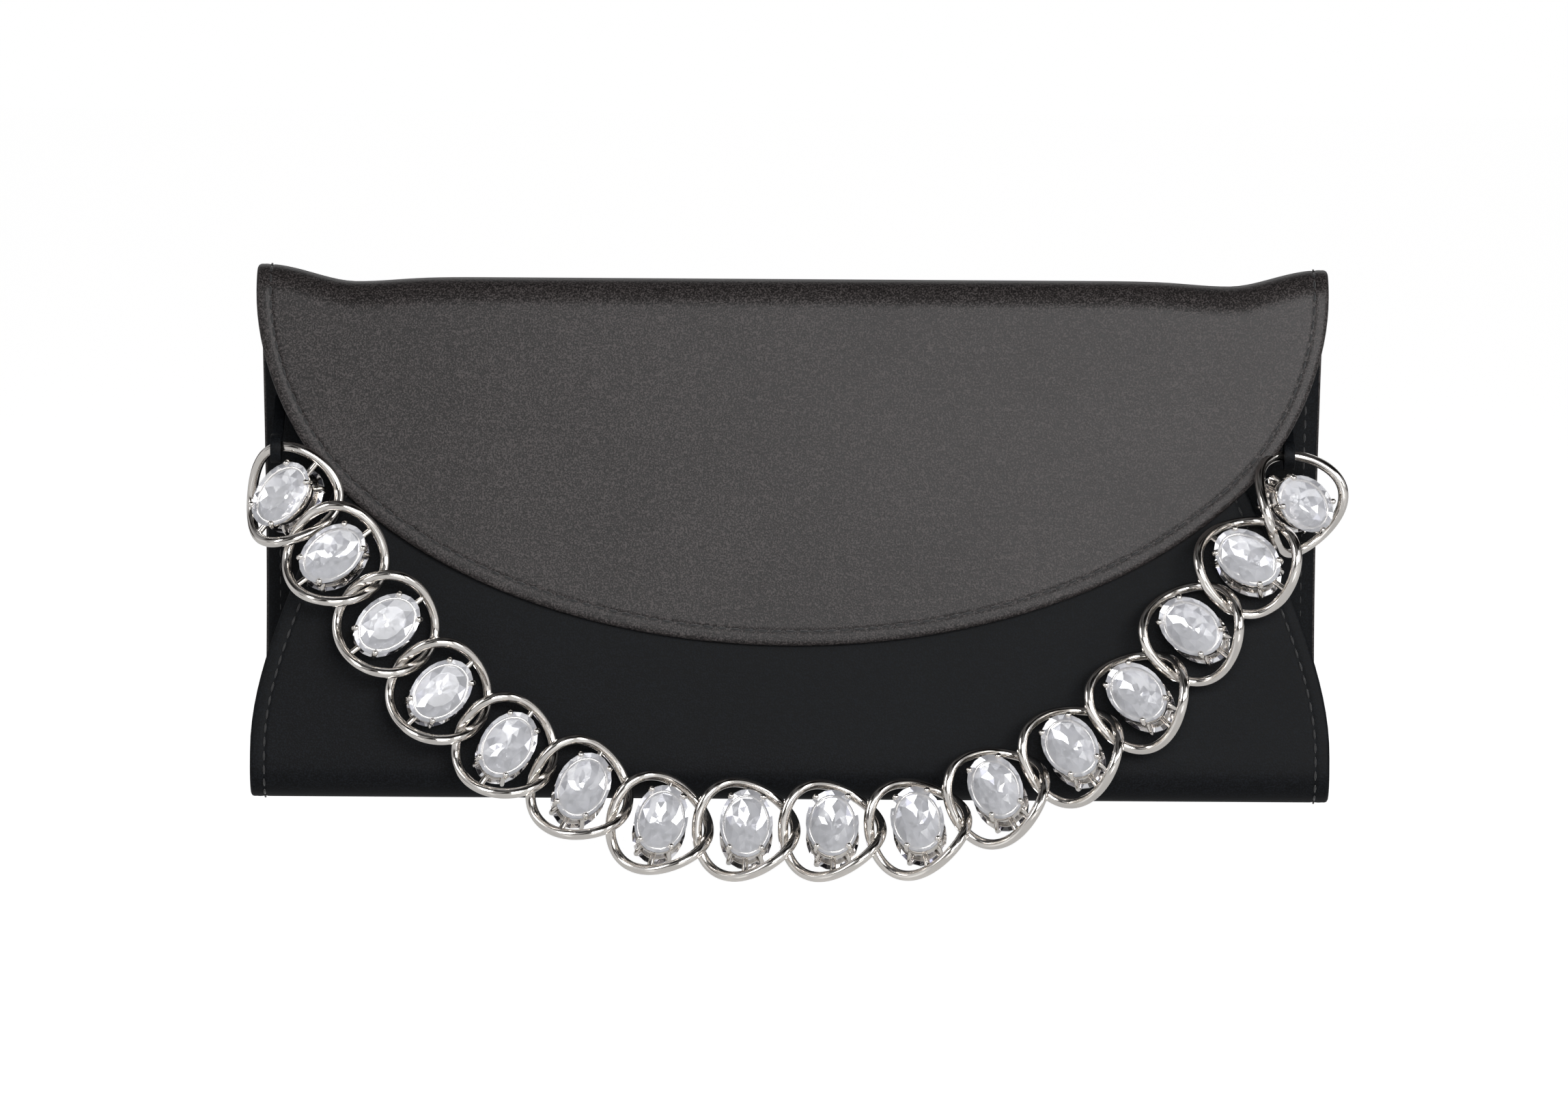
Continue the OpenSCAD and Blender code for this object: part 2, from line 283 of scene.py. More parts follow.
def grain(tree, stretch, scale, detail=2.0):
    """Noise on the object's own coordinates, stretched by a vector."""
    place = tree.add("ShaderNodeTexCoord", out=3)
    mapped = tree.add("ShaderNodeMapping", None, {"Vector": place, "Scale": stretch})
    return tree.add("ShaderNodeTexNoise", None,
                    {"Vector": mapped, "Scale": scale, "Detail": detail}, out=0)


def paint(tree, surface, mask, *stops):
    """Colours a surface by a mask, through (position, colour) stops."""
    ramp = tree.add("ShaderNodeValToRGB", {"stops": stops}, {"Fac": mask})
    link(tree, ramp, surface.inputs["Base Color"])


def bump(tree, height, strength, depth):
    """A normal from a height in metres."""
    return tree.add("ShaderNodeBump", None,
                    {"Height": height, "Strength": strength, "Distance": depth})


def rgba(tone, factor=1.0):
    """A colour with full alpha, made lighter or darker by a factor."""
    return tuple(min(1.0, c * factor) for c in tone) + (1.0,)


def satin_material(name, tone, painted_glints, roughness, specular):
    """Duchess satin: fine grain with painted glints in its colour, faint ribs along the weft, and
    a soft sheen.
    """
    made, tree, surface = new_material(name)
    speckle = grain(tree, (1, 1, 1), 2600, 1.0)
    ribs = grain(tree, (0.3, 1, 1), 1500, 1.0)
    cloud = grain(tree, (1, 1, 1), 30, 2.0)
    mix = speckle * 0.80 + ribs * 0.12 + cloud * 0.08
    # Darker specks are the satin's grain; the brightest specks are painted glints.
    paint(tree, surface, mix, (0.36, rgba(tone, 0.45)), (0.50, rgba(tone)),
          (0.62, rgba(tone, painted_glints)))
    link(tree, roughness + (speckle - 0.5) * 0.30, surface.inputs["Roughness"])
    link(tree, bump(tree, speckle * 0.6 + ribs * 0.4, 0.55, 0.00012), surface.inputs["Normal"])
    surface.inputs["Specular IOR Level"].default_value = specular
    return made


def twill_material(name, tone):
    """Twill: fine slanted ribs with uneven yarn."""
    made, tree, surface = new_material(name)
    place = tree.add("ShaderNodeTexCoord", out=3)
    turned = tree.add("ShaderNodeMapping", None,
                      {"Vector": place, "Rotation": (0.0, math.radians(45), 0.0)})
    ribs = tree.add("ShaderNodeTexWave", {"wave_type": "BANDS", "bands_direction": "X"},
                    {"Vector": turned, "Scale": 420.0, "Distortion": 0.6, "Detail": 1.0}, out=1)
    yarn = grain(tree, (1, 1, 1), 1500, 2.0)
    height = ribs * 0.7 + yarn * 0.3
    paint(tree, surface, height, (0.2, rgba(tone, 0.6)), (0.85, rgba(tone, 1.7)))
    link(tree, 0.72 + yarn * 0.15, surface.inputs["Roughness"])
    link(tree, bump(tree, height, 0.6, 0.00018), surface.inputs["Normal"])
    surface.inputs["Sheen Weight"].default_value = 0.12
    return made


def board_material(name, tone):
    """Pressed grey-brown board with short fibres."""
    made, tree, surface = new_material(name)
    fibres = grain(tree, (0.25, 1, 1), 900, 3.0)
    paint(tree, surface, fibres, (0.3, rgba(tone, 0.75)), (0.7, rgba(tone, 1.15)))
    link(tree, 0.8 + fibres * 0.15, surface.inputs["Roughness"])
    link(tree, bump(tree, fibres, 0.4, 0.0001), surface.inputs["Normal"])
    return made


def metal_material(name, tone, roughness, scratches):
    """Plated metal: a polish with faint wear and hairline marks."""
    made, tree, surface = new_material(name)
    wear = grain(tree, (1, 1, 1), 160, 3.0)
    hairs = grain(tree, (0.3, 1, 1), 900, 1.0)
    paint(tree, surface, wear, (0.30, rgba(tone, 0.90)), (0.65, rgba(tone)))
    link(tree, roughness + (wear ** 2.0) * 0.09 + hairs * scratches, surface.inputs["Roughness"])
    link(tree, bump(tree, hairs, scratches, 0.000004), surface.inputs["Normal"])
    surface.inputs["Metallic"].default_value = 1.0
    return made


def crystal_material(name):
    """Clear cut stone: a bright, hard glass with the faintest haze."""
    made, tree, surface = new_material(name)
    haze = grain(tree, (1, 1, 1), 240, 1.0)
    paint(tree, surface, haze, (0.3, (0.97, 0.975, 1.0, 1)), (0.7, (1, 1, 1, 1)))
    link(tree, haze * 0.012, surface.inputs["Roughness"])
    surface.inputs["Transmission Weight"].default_value = 1.0
    surface.inputs["IOR"].default_value = 1.42
    return made


def foil_material(name):
    """Silvered back of a cut stone; each facet gets a painted reflection of its own, from dark to
    white, in place of its sparkle.
    """
    made, tree, surface = new_material(name)
    # Painted reflections: each facet's random value picks a dark or a bright foil tone.
    tone = tree.add("ShaderNodeAttribute", {"attribute_name": "facet_tone"}, out=2)
    paint(tree, surface, tone, (0.0, (0.06, 0.06, 0.08, 1)), (0.22, (0.34, 0.34, 0.38, 1)),
          (0.50, (0.92, 0.92, 0.96, 1)), (1.0, (1, 1, 1, 1)))
    link(tree, 0.05 + (1 - tone) * 0.08, surface.inputs["Roughness"])
    surface.inputs["Metallic"].default_value = 1.0
    return made


def thread_material(name, tone):
    """Twisted sewing thread."""
    made, tree, surface = new_material(name)
    twist = grain(tree, (1, 1, 1), 3200, 1.0)
    paint(tree, surface, twist, (0.3, rgba(tone, 0.7)), (0.7, rgba(tone, 2.4)))
    link(tree, 0.5 + twist * 0.2, surface.inputs["Roughness"])
    surface.inputs["Sheen Weight"].default_value = 0.3
    return made


def material(name):
    """The named finish, made the first time it is asked for."""
    if name in bpy.data.materials:
        return bpy.data.materials[name]
    tones = bpy.context.scene.bag_finish
    makers = {
        # The 3.0 and 2.2 set how bright the painted glints are in each satin's colour.
        "flap_satin_painted_sheen": lambda: satin_material("flap_satin_painted_sheen", tones.flap_satin_painted_sheen, 3.0, 0.42, 0.20),
        "body_satin": lambda: satin_material("body_satin", tones.body_satin, 2.2, 0.60, 0.12),
        "lining_twill": lambda: twill_material("lining_twill", tones.lining),
        "board": lambda: board_material("board", tones.board),
        "silver_plate": lambda: metal_material("silver_plate", tones.silver, 0.09, 0.05),
        "magnet_steel": lambda: metal_material("magnet_steel", tones.magnet, 0.25, 0.3),
        "crystal": lambda: crystal_material("crystal"),
        "stone_foil": lambda: foil_material("stone_foil"),
        "thread_and_hole_shade": lambda: thread_material("thread_and_hole_shade", tones.thread_and_hole_shade),
    }
    return makers[name]()


# ---- Meshes ----


def signed_volume(points, faces):
    """Six times the volume inside the faces; negative where they look inwards."""
    total = 0.0
    for face in faces:
        a = points[face[0]]
        for b, c in zip(face[1:-1], face[2:]):
            total += np.dot(a, np.cross(points[b], points[c]))
    return total


def mesh_object(name, points, faces, finishes, smooth=True):
    """A new object at the origin, its faces turned outwards."""
    if signed_volume(points, faces) < 0:
        faces = [face[::-1] for face in faces]
    mesh = bpy.data.meshes.new(name)
    mesh.from_pydata([tuple(p) for p in points], [], faces)
    for finish in finishes:
        mesh.materials.append(material(finish))
    if smooth:
        mesh.shade_smooth()
    made = bpy.data.objects.new(name, mesh)
    bpy.context.scene.collection.objects.link(made)
    return made


def baked(piece):
    """Turns the evaluated piece into a plain mesh and drops its modifiers."""
    bpy.context.view_layer.update()
    evaluated = piece.evaluated_get(bpy.context.evaluated_depsgraph_get())
    mesh = bpy.data.meshes.new_from_object(evaluated)
    piece.modifiers.clear()
    piece.data = mesh
    return piece


def dress(piece, body, slot, *nodes):
    """Puts a finished piece on its body and hides the nodes it stands for; its slot is not used.
    """
    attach(piece, body)
    if nodes:
        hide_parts(*nodes)
    return piece


def softened(name, node, width, finish):
    """A copy of a node with its edges rounded."""
    mesh = frame["nodes"][node].data.copy()
    mesh.name = name
    mesh.materials.clear()
    mesh.materials.append(material(finish))
    made = bpy.data.objects.new(name, mesh)
    bpy.context.scene.collection.objects.link(made)
    weld = made.modifiers.new("weld", "WELD")
    weld.merge_threshold = MERGE_DISTANCE
    round_off = made.modifiers.new("round", "BEVEL")
    round_off.width = width
    round_off.segments = 3
    round_off.limit_method = "ANGLE"
    round_off.angle_limit = math.radians(35)
    baked(made)
    made.data.shade_smooth()
    return made


def step(value, low, high):
    """0 below low, 1 above high, smooth between."""
    share = np.clip((np.asarray(value, float) - low) / (high - low), 0, 1)
    return share * share * (3 - 2 * share)


def turned_edge(thickness, groove, board_inset, satin, grid_inset):
    """The rings of a panel's border, as (inset, depth) from its face round to its inner side."""
    radius = thickness / 2
    face = [(grid_inset, 0), (grid_inset - 0.0004, 0), (groove + 0.0006, 0.00002),
            (groove + 0.0003, 0.0001), (groove, 0.00016), (groove - 0.0003, 0.0001),
            (groove - 0.0007, 0.00001), (groove - 0.0014, -0.00003),
            (radius + 0.0005, 0.00002)]
    turn = [(radius * (1 - math.cos(a)), radius * (1 - math.sin(a)))
            for a in np.radians([90, 65, 40, 15, -15, -40, -65, -90])]
    inside = [(board_inset, thickness), (board_inset + 0.00005, satin), (grid_inset, satin)]
    return face + turn + inside


class Sheet:
    """A laid-up sheet in its own flat plan: x across, s along its path, depth into it."""

    def __init__(self, half_width, rows, tip=None, columns=96):
        """Takes the half width along the path, the rows, and a rounded tip (depth, rows)."""
        self.half_width = half_width
        self.rows = list(rows)
        self.tip = tip
        self.columns = columns
        self.across = -np.cos(np.pi * np.arange(columns + 1) / columns)

    def border(self):
        """The outline in order, as (plan points, inward mitres, grid places)."""
        last = len(self.rows) - 1
        depth = last + (self.tip[1] if self.tip else 0)
        wide = [self.half_width(s) for s in self.rows]
        top = [((f * wide[0], self.rows[0]), (0, j)) for j, f in enumerate(self.across)][::-1]
        left = [((-wide[i], self.rows[i]), (i, 0)) for i in range(1, last + 1)]
        if self.tip:
            low = [((f * wide[last], self.rows[last] + self.tip[0] * math.sqrt(1 - f * f)),
                    (depth, j)) for j, f in enumerate(self.across)][1:-1]
            right = [((wide[i], self.rows[i]), (i, self.columns)) for i in range(last, 0, -1)]
        else:
            low = [((f * wide[last], self.rows[last]), (last, j))
                   for j, f in enumerate(self.across)][1:]
            right = [((wide[i], self.rows[i]), (i, self.columns)) for i in range(last - 1, 0, -1)]
        chain = top + left + low + right
        points = np.array([p for p, _ in chain])
        ahead = np.roll(points, -1, 0) - points
        normal = np.stack([-ahead[:, 1], ahead[:, 0]], 1)
        normal /= np.linalg.norm(normal, axis=1)[:, None]
        before = np.roll(normal, 1, 0)
        mitre = (normal + before) / (1 + np.sum(normal * before, 1))[:, None]
        middle = points.mean(0)
        if np.sum(mitre * (middle - points)) < 0:
            mitre = -mitre
        return points, mitre, [place for _, place in chain]

    def grid(self, border, inset):
        """The plan points inside the border's inset line, row by row."""
        points, mitre, places = border
        edge = {place: points[k] + inset * mitre[k] for k, place in enumerate(places)}
        last = len(self.rows) - 1
        share = (self.across + 1) / 2
        plan = []
        for i in range(last + 1):
            start, end = edge[(i, 0)], edge[(i, self.columns)]
            plan.append([start + (end - start) * f for f in share])
        if self.tip:
            count = self.tip[1]
            for r in range(1, count + 1):
                row = [plan[last][0]]
                for j in range(1, self.columns):
                    low = edge[(last + count, j)]
                    row.append(plan[last][j] + (low - plan[last][j]) * r / count)
                plan.append(row + [plan[last][-1]])
        return np.array(plan)

    def solid(self, name, rings, place, finishes):
        """The sheet as a closed mesh whose border follows the rings."""
        border = self.border()
        outline, mitre, places = border
        plan = self.grid(border, rings[0][0])
        height, width = plan.shape[:2]
        last = len(self.rows) - 1
        flat = plan.reshape(-1, 2)

        def number(i, j):
            """A grid point's number; beyond the last row both sides meet in one point."""
            return (min(i, last) if j in (0, width - 1) else i) * width + j

        points = [place(flat[:, 0], flat[:, 1], rings[0][1])]
        total = len(flat)
        loops = [[number(i, j) for i, j in places]]
        for inset, depth in rings[1:-1]:
            ring = outline + inset * mitre
            points.append(place(ring[:, 0], ring[:, 1], depth))
            loops.append(list(range(total, total + len(ring))))
            total += len(ring)
        points.append(place(flat[:, 0], flat[:, 1], rings[-1][1]))
        loops.append([total + k for k in loops[0]])
        faces = []
        for i in range(height - 1):
            for j in range(width - 1):
                corners = [number(i, j), number(i, j + 1), number(i + 1, j + 1), number(i + 1, j)]
                face = list(dict.fromkeys(corners))
                if len(face) > 2:
                    faces.append(face)
                    faces.append([total + k for k in reversed(face)])
        winding = self.winding(faces[0], flat, outline)
        count = len(loops[0])
        for first, second in zip(loops[:-1], loops[1:]):
            for k in range(count):
                n = (k + 1) % count
                face = [first[k], second[k], second[n], first[n]]
                faces.append(face if winding else face[::-1])
        return self.without_spares(name, np.concatenate(points), faces, finishes)

    @staticmethod
    def winding(face, flat, outline):
        """Whether the border runs the same way round as the grid's faces."""
        a, b, c = (flat[k] for k in face[:3])
        cell = (b[0] - a[0]) * (c[1] - a[1]) - (b[1] - a[1]) * (c[0] - a[0])
        x, y = outline[:, 0], outline[:, 1]
        area = np.sum(x * np.roll(y, -1) - y * np.roll(x, -1))
        return (cell > 0) == (area > 0)

    @staticmethod
    def without_spares(name, points, faces, finishes):
        """The mesh with the points that no face uses left out."""
        used = sorted({k for face in faces for k in face})
        place = {k: n for n, k in enumerate(used)}
        return mesh_object(name, points[used], [[place[k] for k in face] for face in faces],
                           finishes)

    def line(self, inset, low, high, side):
        """The plan points of a stitch line: down one side (-1 or 1), or 0 for the whole edge."""
        outline, mitre, _ = self.border()
        ring = outline + inset * mitre
        keep = (ring[:, 1] > low) & (ring[:, 1] < high)
        if side:
            keep &= ring[:, 0] * side > 0
            chosen = ring[keep]
            return chosen[np.argsort(chosen[:, 1])]
        start = np.flatnonzero(keep & ~np.roll(keep, 1))[0]
        turned = np.roll(ring, -start, 0)
        return turned[np.roll(keep, -start)]


# ---- Paths of the body's sheets ----

# Depth of the front panel's soft waves, and the distance over which waves fade in
FRONT_WAVE = 0.00018
WAVE_FADE = 0.03
# Level end of the fold's rise, and the width of the dip before it
EAR_FLAT = 0.002
DIP_WIDTH = 0.013


def half_depth(z):
    """Half the body's depth at a height, to the satin's face."""
    body = bpy.context.scene.bag_body
    return body.half_depth - math.tan(body.lean) * np.maximum(z - body.base_fold, 0)


def front_half(z):
    """Half the front panel's width at a height."""
    body = bpy.context.scene.bag_body
    above = np.maximum(np.asarray(z, float) - body.flare_start, 0)
    return body.half_width - body.flare_slope * (
        np.sqrt(above ** 2 + body.flare_round ** 2) - body.flare_round)


def back_half(z):
    """Half the back panel's width at a height."""
    body = bpy.context.scene.bag_body
    return body.back_half_width - body.waist * np.sin(np.pi * np.clip(z / BACK_HIGH.z, 0, 1))


class FrontPath:
    """Down the front panel, round the base's front fold, across the base, and up the back fold."""

    def __init__(self):
        """Works out the lengths of the leg, the folds and the floor."""
        body = bpy.context.scene.bag_body
        self.body = body
        self.leg = (body.front_top - body.base_fold) / math.cos(body.lean)
        self.turn = body.base_fold * math.pi / 2
        self.floor = 2 * (body.half_depth - body.base_fold)
        self.end = self.leg + 2 * self.turn + self.floor

    def half_width(self, s):
        """Half the sheet's width at a place along the path."""
        body = self.body
        if s <= self.leg:
            return float(front_half(body.front_top - s * math.cos(body.lean)))
        share = float(step(s, self.leg + self.turn, self.end))
        return body.half_width + (float(back_half(body.base_fold)) - body.half_width) * share

    def place(self, x, s, depth):
        """Points at x across, s along and a depth below the face."""
        body = self.body
        fold, lean = body.base_fold, body.lean
        s = np.asarray(s, float)
        z = body.front_top - s * math.cos(lean)
        leg = (-half_depth(z) + depth * math.cos(lean), z - depth * math.sin(lean))
        first = math.pi + (s - self.leg) / fold
        middle = s - self.leg - self.turn
        second = 1.5 * math.pi + (middle - self.floor) / fold
        near = body.half_depth - fold
        parts = [leg,
                 (-near + (fold - depth) * np.cos(first), fold + (fold - depth) * np.sin(first)),
                 (-near + middle, np.full_like(s, depth)),
                 (near + (fold - depth) * np.cos(second), fold + (fold - depth) * np.sin(second))]
        zones = np.select([s <= self.leg, s <= self.leg + self.turn,
                           s <= self.leg + self.turn + self.floor], [0, 1, 2], 3)
        y = np.choose(zones, [p[0] for p in parts])
        z = np.choose(zones, [p[1] for p in parts])
        soft = FRONT_WAVE * np.sin(s * 61 + 0.8) * np.sin(np.asarray(x) * 47 + 0.4)
        soft = soft * step(s, 0, WAVE_FADE) * (1 - step(s, self.leg - 0.02, self.leg))
        return np.stack([np.asarray(x), y - soft, z], 1)


class FlapPath:
    """Up the back panel, over the top fold, and down the flap's front."""

    def __init__(self):
        """Works out the fold's centre and the lengths on both sides of it."""
        body, flap = bpy.context.scene.bag_body, bpy.context.scene.bag_flap
        self.body, self.flap = body, flap
        lean = body.lean
        self.centre_z = flap.fold_height - flap.fold_radius
        top = self.centre_z + flap.fold_radius * math.sin(lean)
        self.centre_y = float(half_depth(top)) - flap.fold_radius * math.cos(lean)
        self.leg = (top - body.base_fold) / math.cos(lean)
        self.turn = flap.fold_radius * (math.pi - 2 * lean)
        self.drop = (top - flap.tip_height) / math.cos(lean)
        self.top = top

    def half_width(self, s):
        """Half the sheet's width at a place along the path."""
        z = self.body.base_fold + min(s, self.leg) * math.cos(self.body.lean)
        share = float(step(z, BACK_HIGH.z - 0.0005, self.top))
        return float(back_half(z)) * (1 - share) + self.flap.half_width * share

    def place(self, x, s, depth):
        """Points at x across, s along and a depth below the face."""
        body, flap = self.body, self.flap
        lean = body.lean
        x, s = np.asarray(x, float), np.asarray(s, float)
        ear = flap.ear_rise * step(np.abs(x), flap.ear_start, flap.half_width - EAR_FLAT)
        ear = ear - flap.ear_dip * np.exp(-((np.abs(x) - flap.ear_start) / DIP_WIDTH) ** 2)
        lift = ear * step(s, self.leg - flap.ear_reach, self.leg)
        z = body.base_fold + s * math.cos(lean) + lift
        back = (half_depth(z) - depth * math.cos(lean), z - depth * math.sin(lean))
        angle = lean + (s - self.leg) / flap.fold_radius
        radius = flap.fold_radius - ear * math.sin(lean)
        over = (self.centre_y + (radius - depth) * np.cos(angle),
                self.centre_z + ear + (radius - depth) * np.sin(angle))
        down = s - self.leg - self.turn
        fall = ear * (1 - step(down, 0, flap.ear_reach))
        front_z = self.top - down * math.cos(lean) + fall
        start_y = self.centre_y - flap.fold_radius * math.cos(lean)
        wave = flap.sag * np.sin(down * 52 + 0.6) * np.cos(x * 31 + 0.5)
        wave = wave * step(down, 0.002, WAVE_FADE)
        front_y = start_y - (self.top - front_z) * math.tan(lean) - wave
        front = (front_y + depth * math.cos(lean), front_z - depth * math.sin(lean))
        zones = np.select([s <= self.leg, s <= self.leg + self.turn], [0, 1], 2)
        y = np.choose(zones, [back[0], over[0], front[0]])
        z = np.choose(zones, [back[1], over[1], front[1]])
        return np.stack([x, y, z], 1)


# Distance from a panel's edge to its plain face, and to its board
GRID_INSET = 0.0048
BOARD_INSET = 0.0029
FLAP_BOARD_INSET = 0.0039
# Distance from a panel's end to its second row of points
END_ROW = 0.006
LEG_START = 0.012
LEG_ROWS = 26
TIP_ROWS = 22
# Distance from an inner layer's end to its second row of points
LAYER_ROW = 0.0012


def front_sheet():
    """The sheet of the front panel and base."""
    path = FrontPath()
    leg = np.concatenate([[0, END_ROW], np.linspace(LEG_START, path.leg, LEG_ROWS)])
    bends = np.linspace(path.leg, path.leg + path.turn, 8)[1:]
    floor = np.linspace(path.leg + path.turn, path.leg + path.turn + path.floor, 8)[1:]
    last_row = path.end - 0.0052
    rear = np.linspace(path.leg + path.turn + path.floor, last_row, 4)[1:]
    return path, Sheet(path.half_width, [*leg, *bends, *floor, *rear, path.end])


def flap_sheet(start=0.0, edge_in=0.0):
    """The sheet of the back panel and flap, or a layer of it from a place along the path."""
    path = FlapPath()
    rise = np.linspace(LEG_START, path.leg, LEG_ROWS)
    over = np.linspace(path.leg, path.leg + path.turn, 22)[1:]
    if start:
        rows = [start, start + LAYER_ROW, *[s for s in over if s > start + 0.002]]
    else:
        rows = [0, END_ROW, *rise, *over]

    def half_width(s):
        """Half the layer's width at a place along the path."""
        return path.half_width(s) - edge_in

    return path, Sheet(half_width, rows, tip=(path.drop - edge_in, TIP_ROWS))


def flap_hinge():
    """Where the flap turns on the back panel."""
    return Vector(next(j["pos_m"] for j in frame["joints"] if j["name"] == "flap_fold"))


# ---- Operators ----


class BAG_OT_stage(bpy.types.Operator):
    """Sets the floor, the lights and the camera"""

    bl_idname = "bag.stage"
    bl_label = "Stage"

    floor_half = 8.0
    floor_gap = 0.0004

    def execute(self, context):
        self.floor(context)
        self.sky(context)
        self.lights(context)
        self.camera(context)
        context.scene.view_settings.view_transform = "Standard"
        return {"FINISHED"}

    def floor(self, context):
        """A white floor with a trace of gloss."""
        size, z = self.floor_half, CAD_BOX[0].z - self.floor_gap
        mesh = bpy.data.meshes.new("floor")
        mesh.from_pydata([(-size, -size, z), (size, -size, z), (size, size, z), (-size, size, z)],
                         [], [(0, 1, 2, 3)])
        made = bpy.data.materials.new("floor_white")
        made.use_nodes = True
        made.node_tree.nodes.clear()
        tree = Tree(made.node_tree)
        matt = tree.add("ShaderNodeBsdfDiffuse", None, {"Color": (0.35, 0.35, 0.35, 1)})
        seen = tree.add("ShaderNodeLightPath", out=0)
        glow = tree.add("ShaderNodeEmission", None,
                        {"Color": (1, 1, 1, 1), "Strength": 0.4 + seen * 0.62})
        both = tree.add("ShaderNodeAddShader", None, {0: matt, 1: glow})
        gloss = tree.add("ShaderNodeBsdfGlossy", None,
                         {"Color": (1, 1, 1, 1), "Roughness": 0.06})
        mixed = tree.add("ShaderNodeMixShader", None, {0: 0.07, 1: both, 2: gloss})
        tree.add("ShaderNodeOutputMaterial", None, {"Surface": mixed})
        mesh.materials.append(made)
        floor = bpy.data.objects.new("floor", mesh)
        context.scene.collection.objects.link(floor)

    def sky(self, context):
        """White to the eye; for reflections a bright room with darker bays."""
        world = bpy.data.worlds.new("studio")
        world.use_nodes = True
        world.node_tree.nodes.clear()
        tree = Tree(world.node_tree)
        way = tree.add("ShaderNodeTexCoord", out=0)
        bays = tree.add("ShaderNodeTexNoise", None,
                        {"Vector": way, "Scale": 2.0, "Detail": 0.0}, out=0)
        tone = tree.add("ShaderNodeValToRGB",
                        {"stops": [(0.42, (0.015, 0.013, 0.012, 1)), (0.56, (0.72, 0.72, 0.73, 1)),
                                   (0.49, (0.16, 0.145, 0.135, 1))]}, {"Fac": bays})
        seen = tree.add("ShaderNodeLightPath", out=0)
        room = tree.add("ShaderNodeMix", {"data_type": "RGBA"},
                        {0: seen, 6: tone, 7: (1, 1, 1, 1)}, out=2)
        height = tree.add("ShaderNodeSeparateXYZ", None, {0: way}, out=2)
        shade = tree.add("ShaderNodeValToRGB", {"stops": [(0.0, (1, 1, 1, 1)),
                                                          (0.75, (0.12, 0.12, 0.12, 1))]},
                         {"Fac": height})
        strength = seen + (1 - seen) * shade
        lit = tree.add("ShaderNodeBackground", None, {"Color": room, "Strength": strength})
        tree.add("ShaderNodeOutputWorld", None, {"Surface": lit})
        context.scene.world = world

    def lights(self, context):
        """Four soft lamps."""
        # Name, place, aim, width, height and power
        plans = (("key", (0.30, -1.25, 0.36), (0.0, 0.0, 0.08), 0.8, 0.35, 12.0),
                 ("left", (-1.1, -0.7, 0.6), (-0.05, 0.0, 0.05), 0.3, 0.7, 4.0),
                 ("right", (1.1, -0.8, 0.5), (0.05, 0.0, 0.05), 0.3, 0.7, 3.0),
                 ("rear", (0.0, 1.1, 0.8), (0.0, 0.0, 0.06), 1.2, 0.5, 2.0))
        for name, place, aim, wide, high, power in plans:
            data = bpy.data.lights.new(name, "AREA")
            data.shape = "RECTANGLE"
            data.size, data.size_y, data.energy = wide, high, power
            lamp = bpy.data.objects.new(name, data)
            lamp.location = place
            lamp.rotation_euler = (Vector(aim) - Vector(place)).to_track_quat("-Z", "Y").to_euler()
            context.scene.collection.objects.link(lamp)

    def camera(self, context):
        """The camera, almost level with the bag's middle."""
        stage = context.scene.bag_stage
        data = bpy.data.cameras.new("camera")
        data.sensor_width = 36.0
        data.lens = data.sensor_width * stage.distance / stage.view_width
        eye = bpy.data.objects.new("camera", data)
        back = Vector((0, -math.cos(stage.elevation), math.sin(stage.elevation)))
        eye.location = Vector(stage.target) + back * stage.distance
        turn = (-back).to_track_quat("-Z", "Y") @ Quaternion((0, 0, 1), stage.roll)
        eye.rotation_mode = "QUATERNION"
        eye.rotation_quaternion = turn
        context.scene.collection.objects.link(eye)
        context.scene.camera = eye


class BAG_OT_front(bpy.types.Operator):
    """Makes the satin of the front panel and base"""

    bl_idname = "bag.front"
    bl_label = "Front panel and base"

    def execute(self, context):
        body = context.scene.bag_body
        path, sheet = front_sheet()
        rings = turned_edge(body.edge, body.stitch_inset, BOARD_INSET, body.satin, GRID_INSET)
        piece = sheet.solid("front_and_base_satin", rings, path.place, ["body_satin"])
        dress(piece, "bag", "satin", "front_cover", "base_cover")
        return {"FINISHED"}


class BAG_OT_flap(bpy.types.Operator):
    """Makes the satin that runs up the back and over into the flap, and the flap's lining"""

    bl_idname = "bag.flap"
    bl_label = "Back panel and flap"

    def execute(self, context):
        body, flap = context.scene.bag_body, context.scene.bag_flap
        path, sheet = flap_sheet()
        rings = turned_edge(flap.edge, body.stitch_inset, FLAP_BOARD_INSET, body.satin, GRID_INSET)
        # The flap's satin carries a painted sheen in its lighter tone.
        piece = sheet.solid("back_and_flap_satin", rings, path.place, ["flap_satin_painted_sheen"])
        hinge = flap_hinge()
        start = hinge + Vector((0, -0.0012, 0.0006))
        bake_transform(piece)
        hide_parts("back_cover", "flap_cover")
        start = path.leg + 0.0006
        self.layer("flap_lining_twill", start, 0.0017, (0.00172, 0.0023), "lining_twill",
                   "lining", "flap_lining")
        self.layer("flap_board_sheet", start, 0.0041, (0.00082, 0.0017), "board",
                   "board", "flap_board")
        return {"FINISHED"}

    def layer(self, name, start, edge_in, depths, finish, slot, node):
        """One of the flap's inner layers, between two depths below the satin's face."""
        inner, outer = depths
        path, sheet = flap_sheet(start, edge_in)
        soft = (outer - inner) / 2
        rings = [(0.003, inner), (soft, inner)]
        rings += [(soft * (1 - math.cos(a)), inner + soft * (1 - math.sin(a)))
                  for a in np.radians([50, 0, -50])]
        rings += [(soft, outer), (0.003, outer)]
        dress(sheet.solid(name, rings, path.place, [finish]), "flap", slot, node)


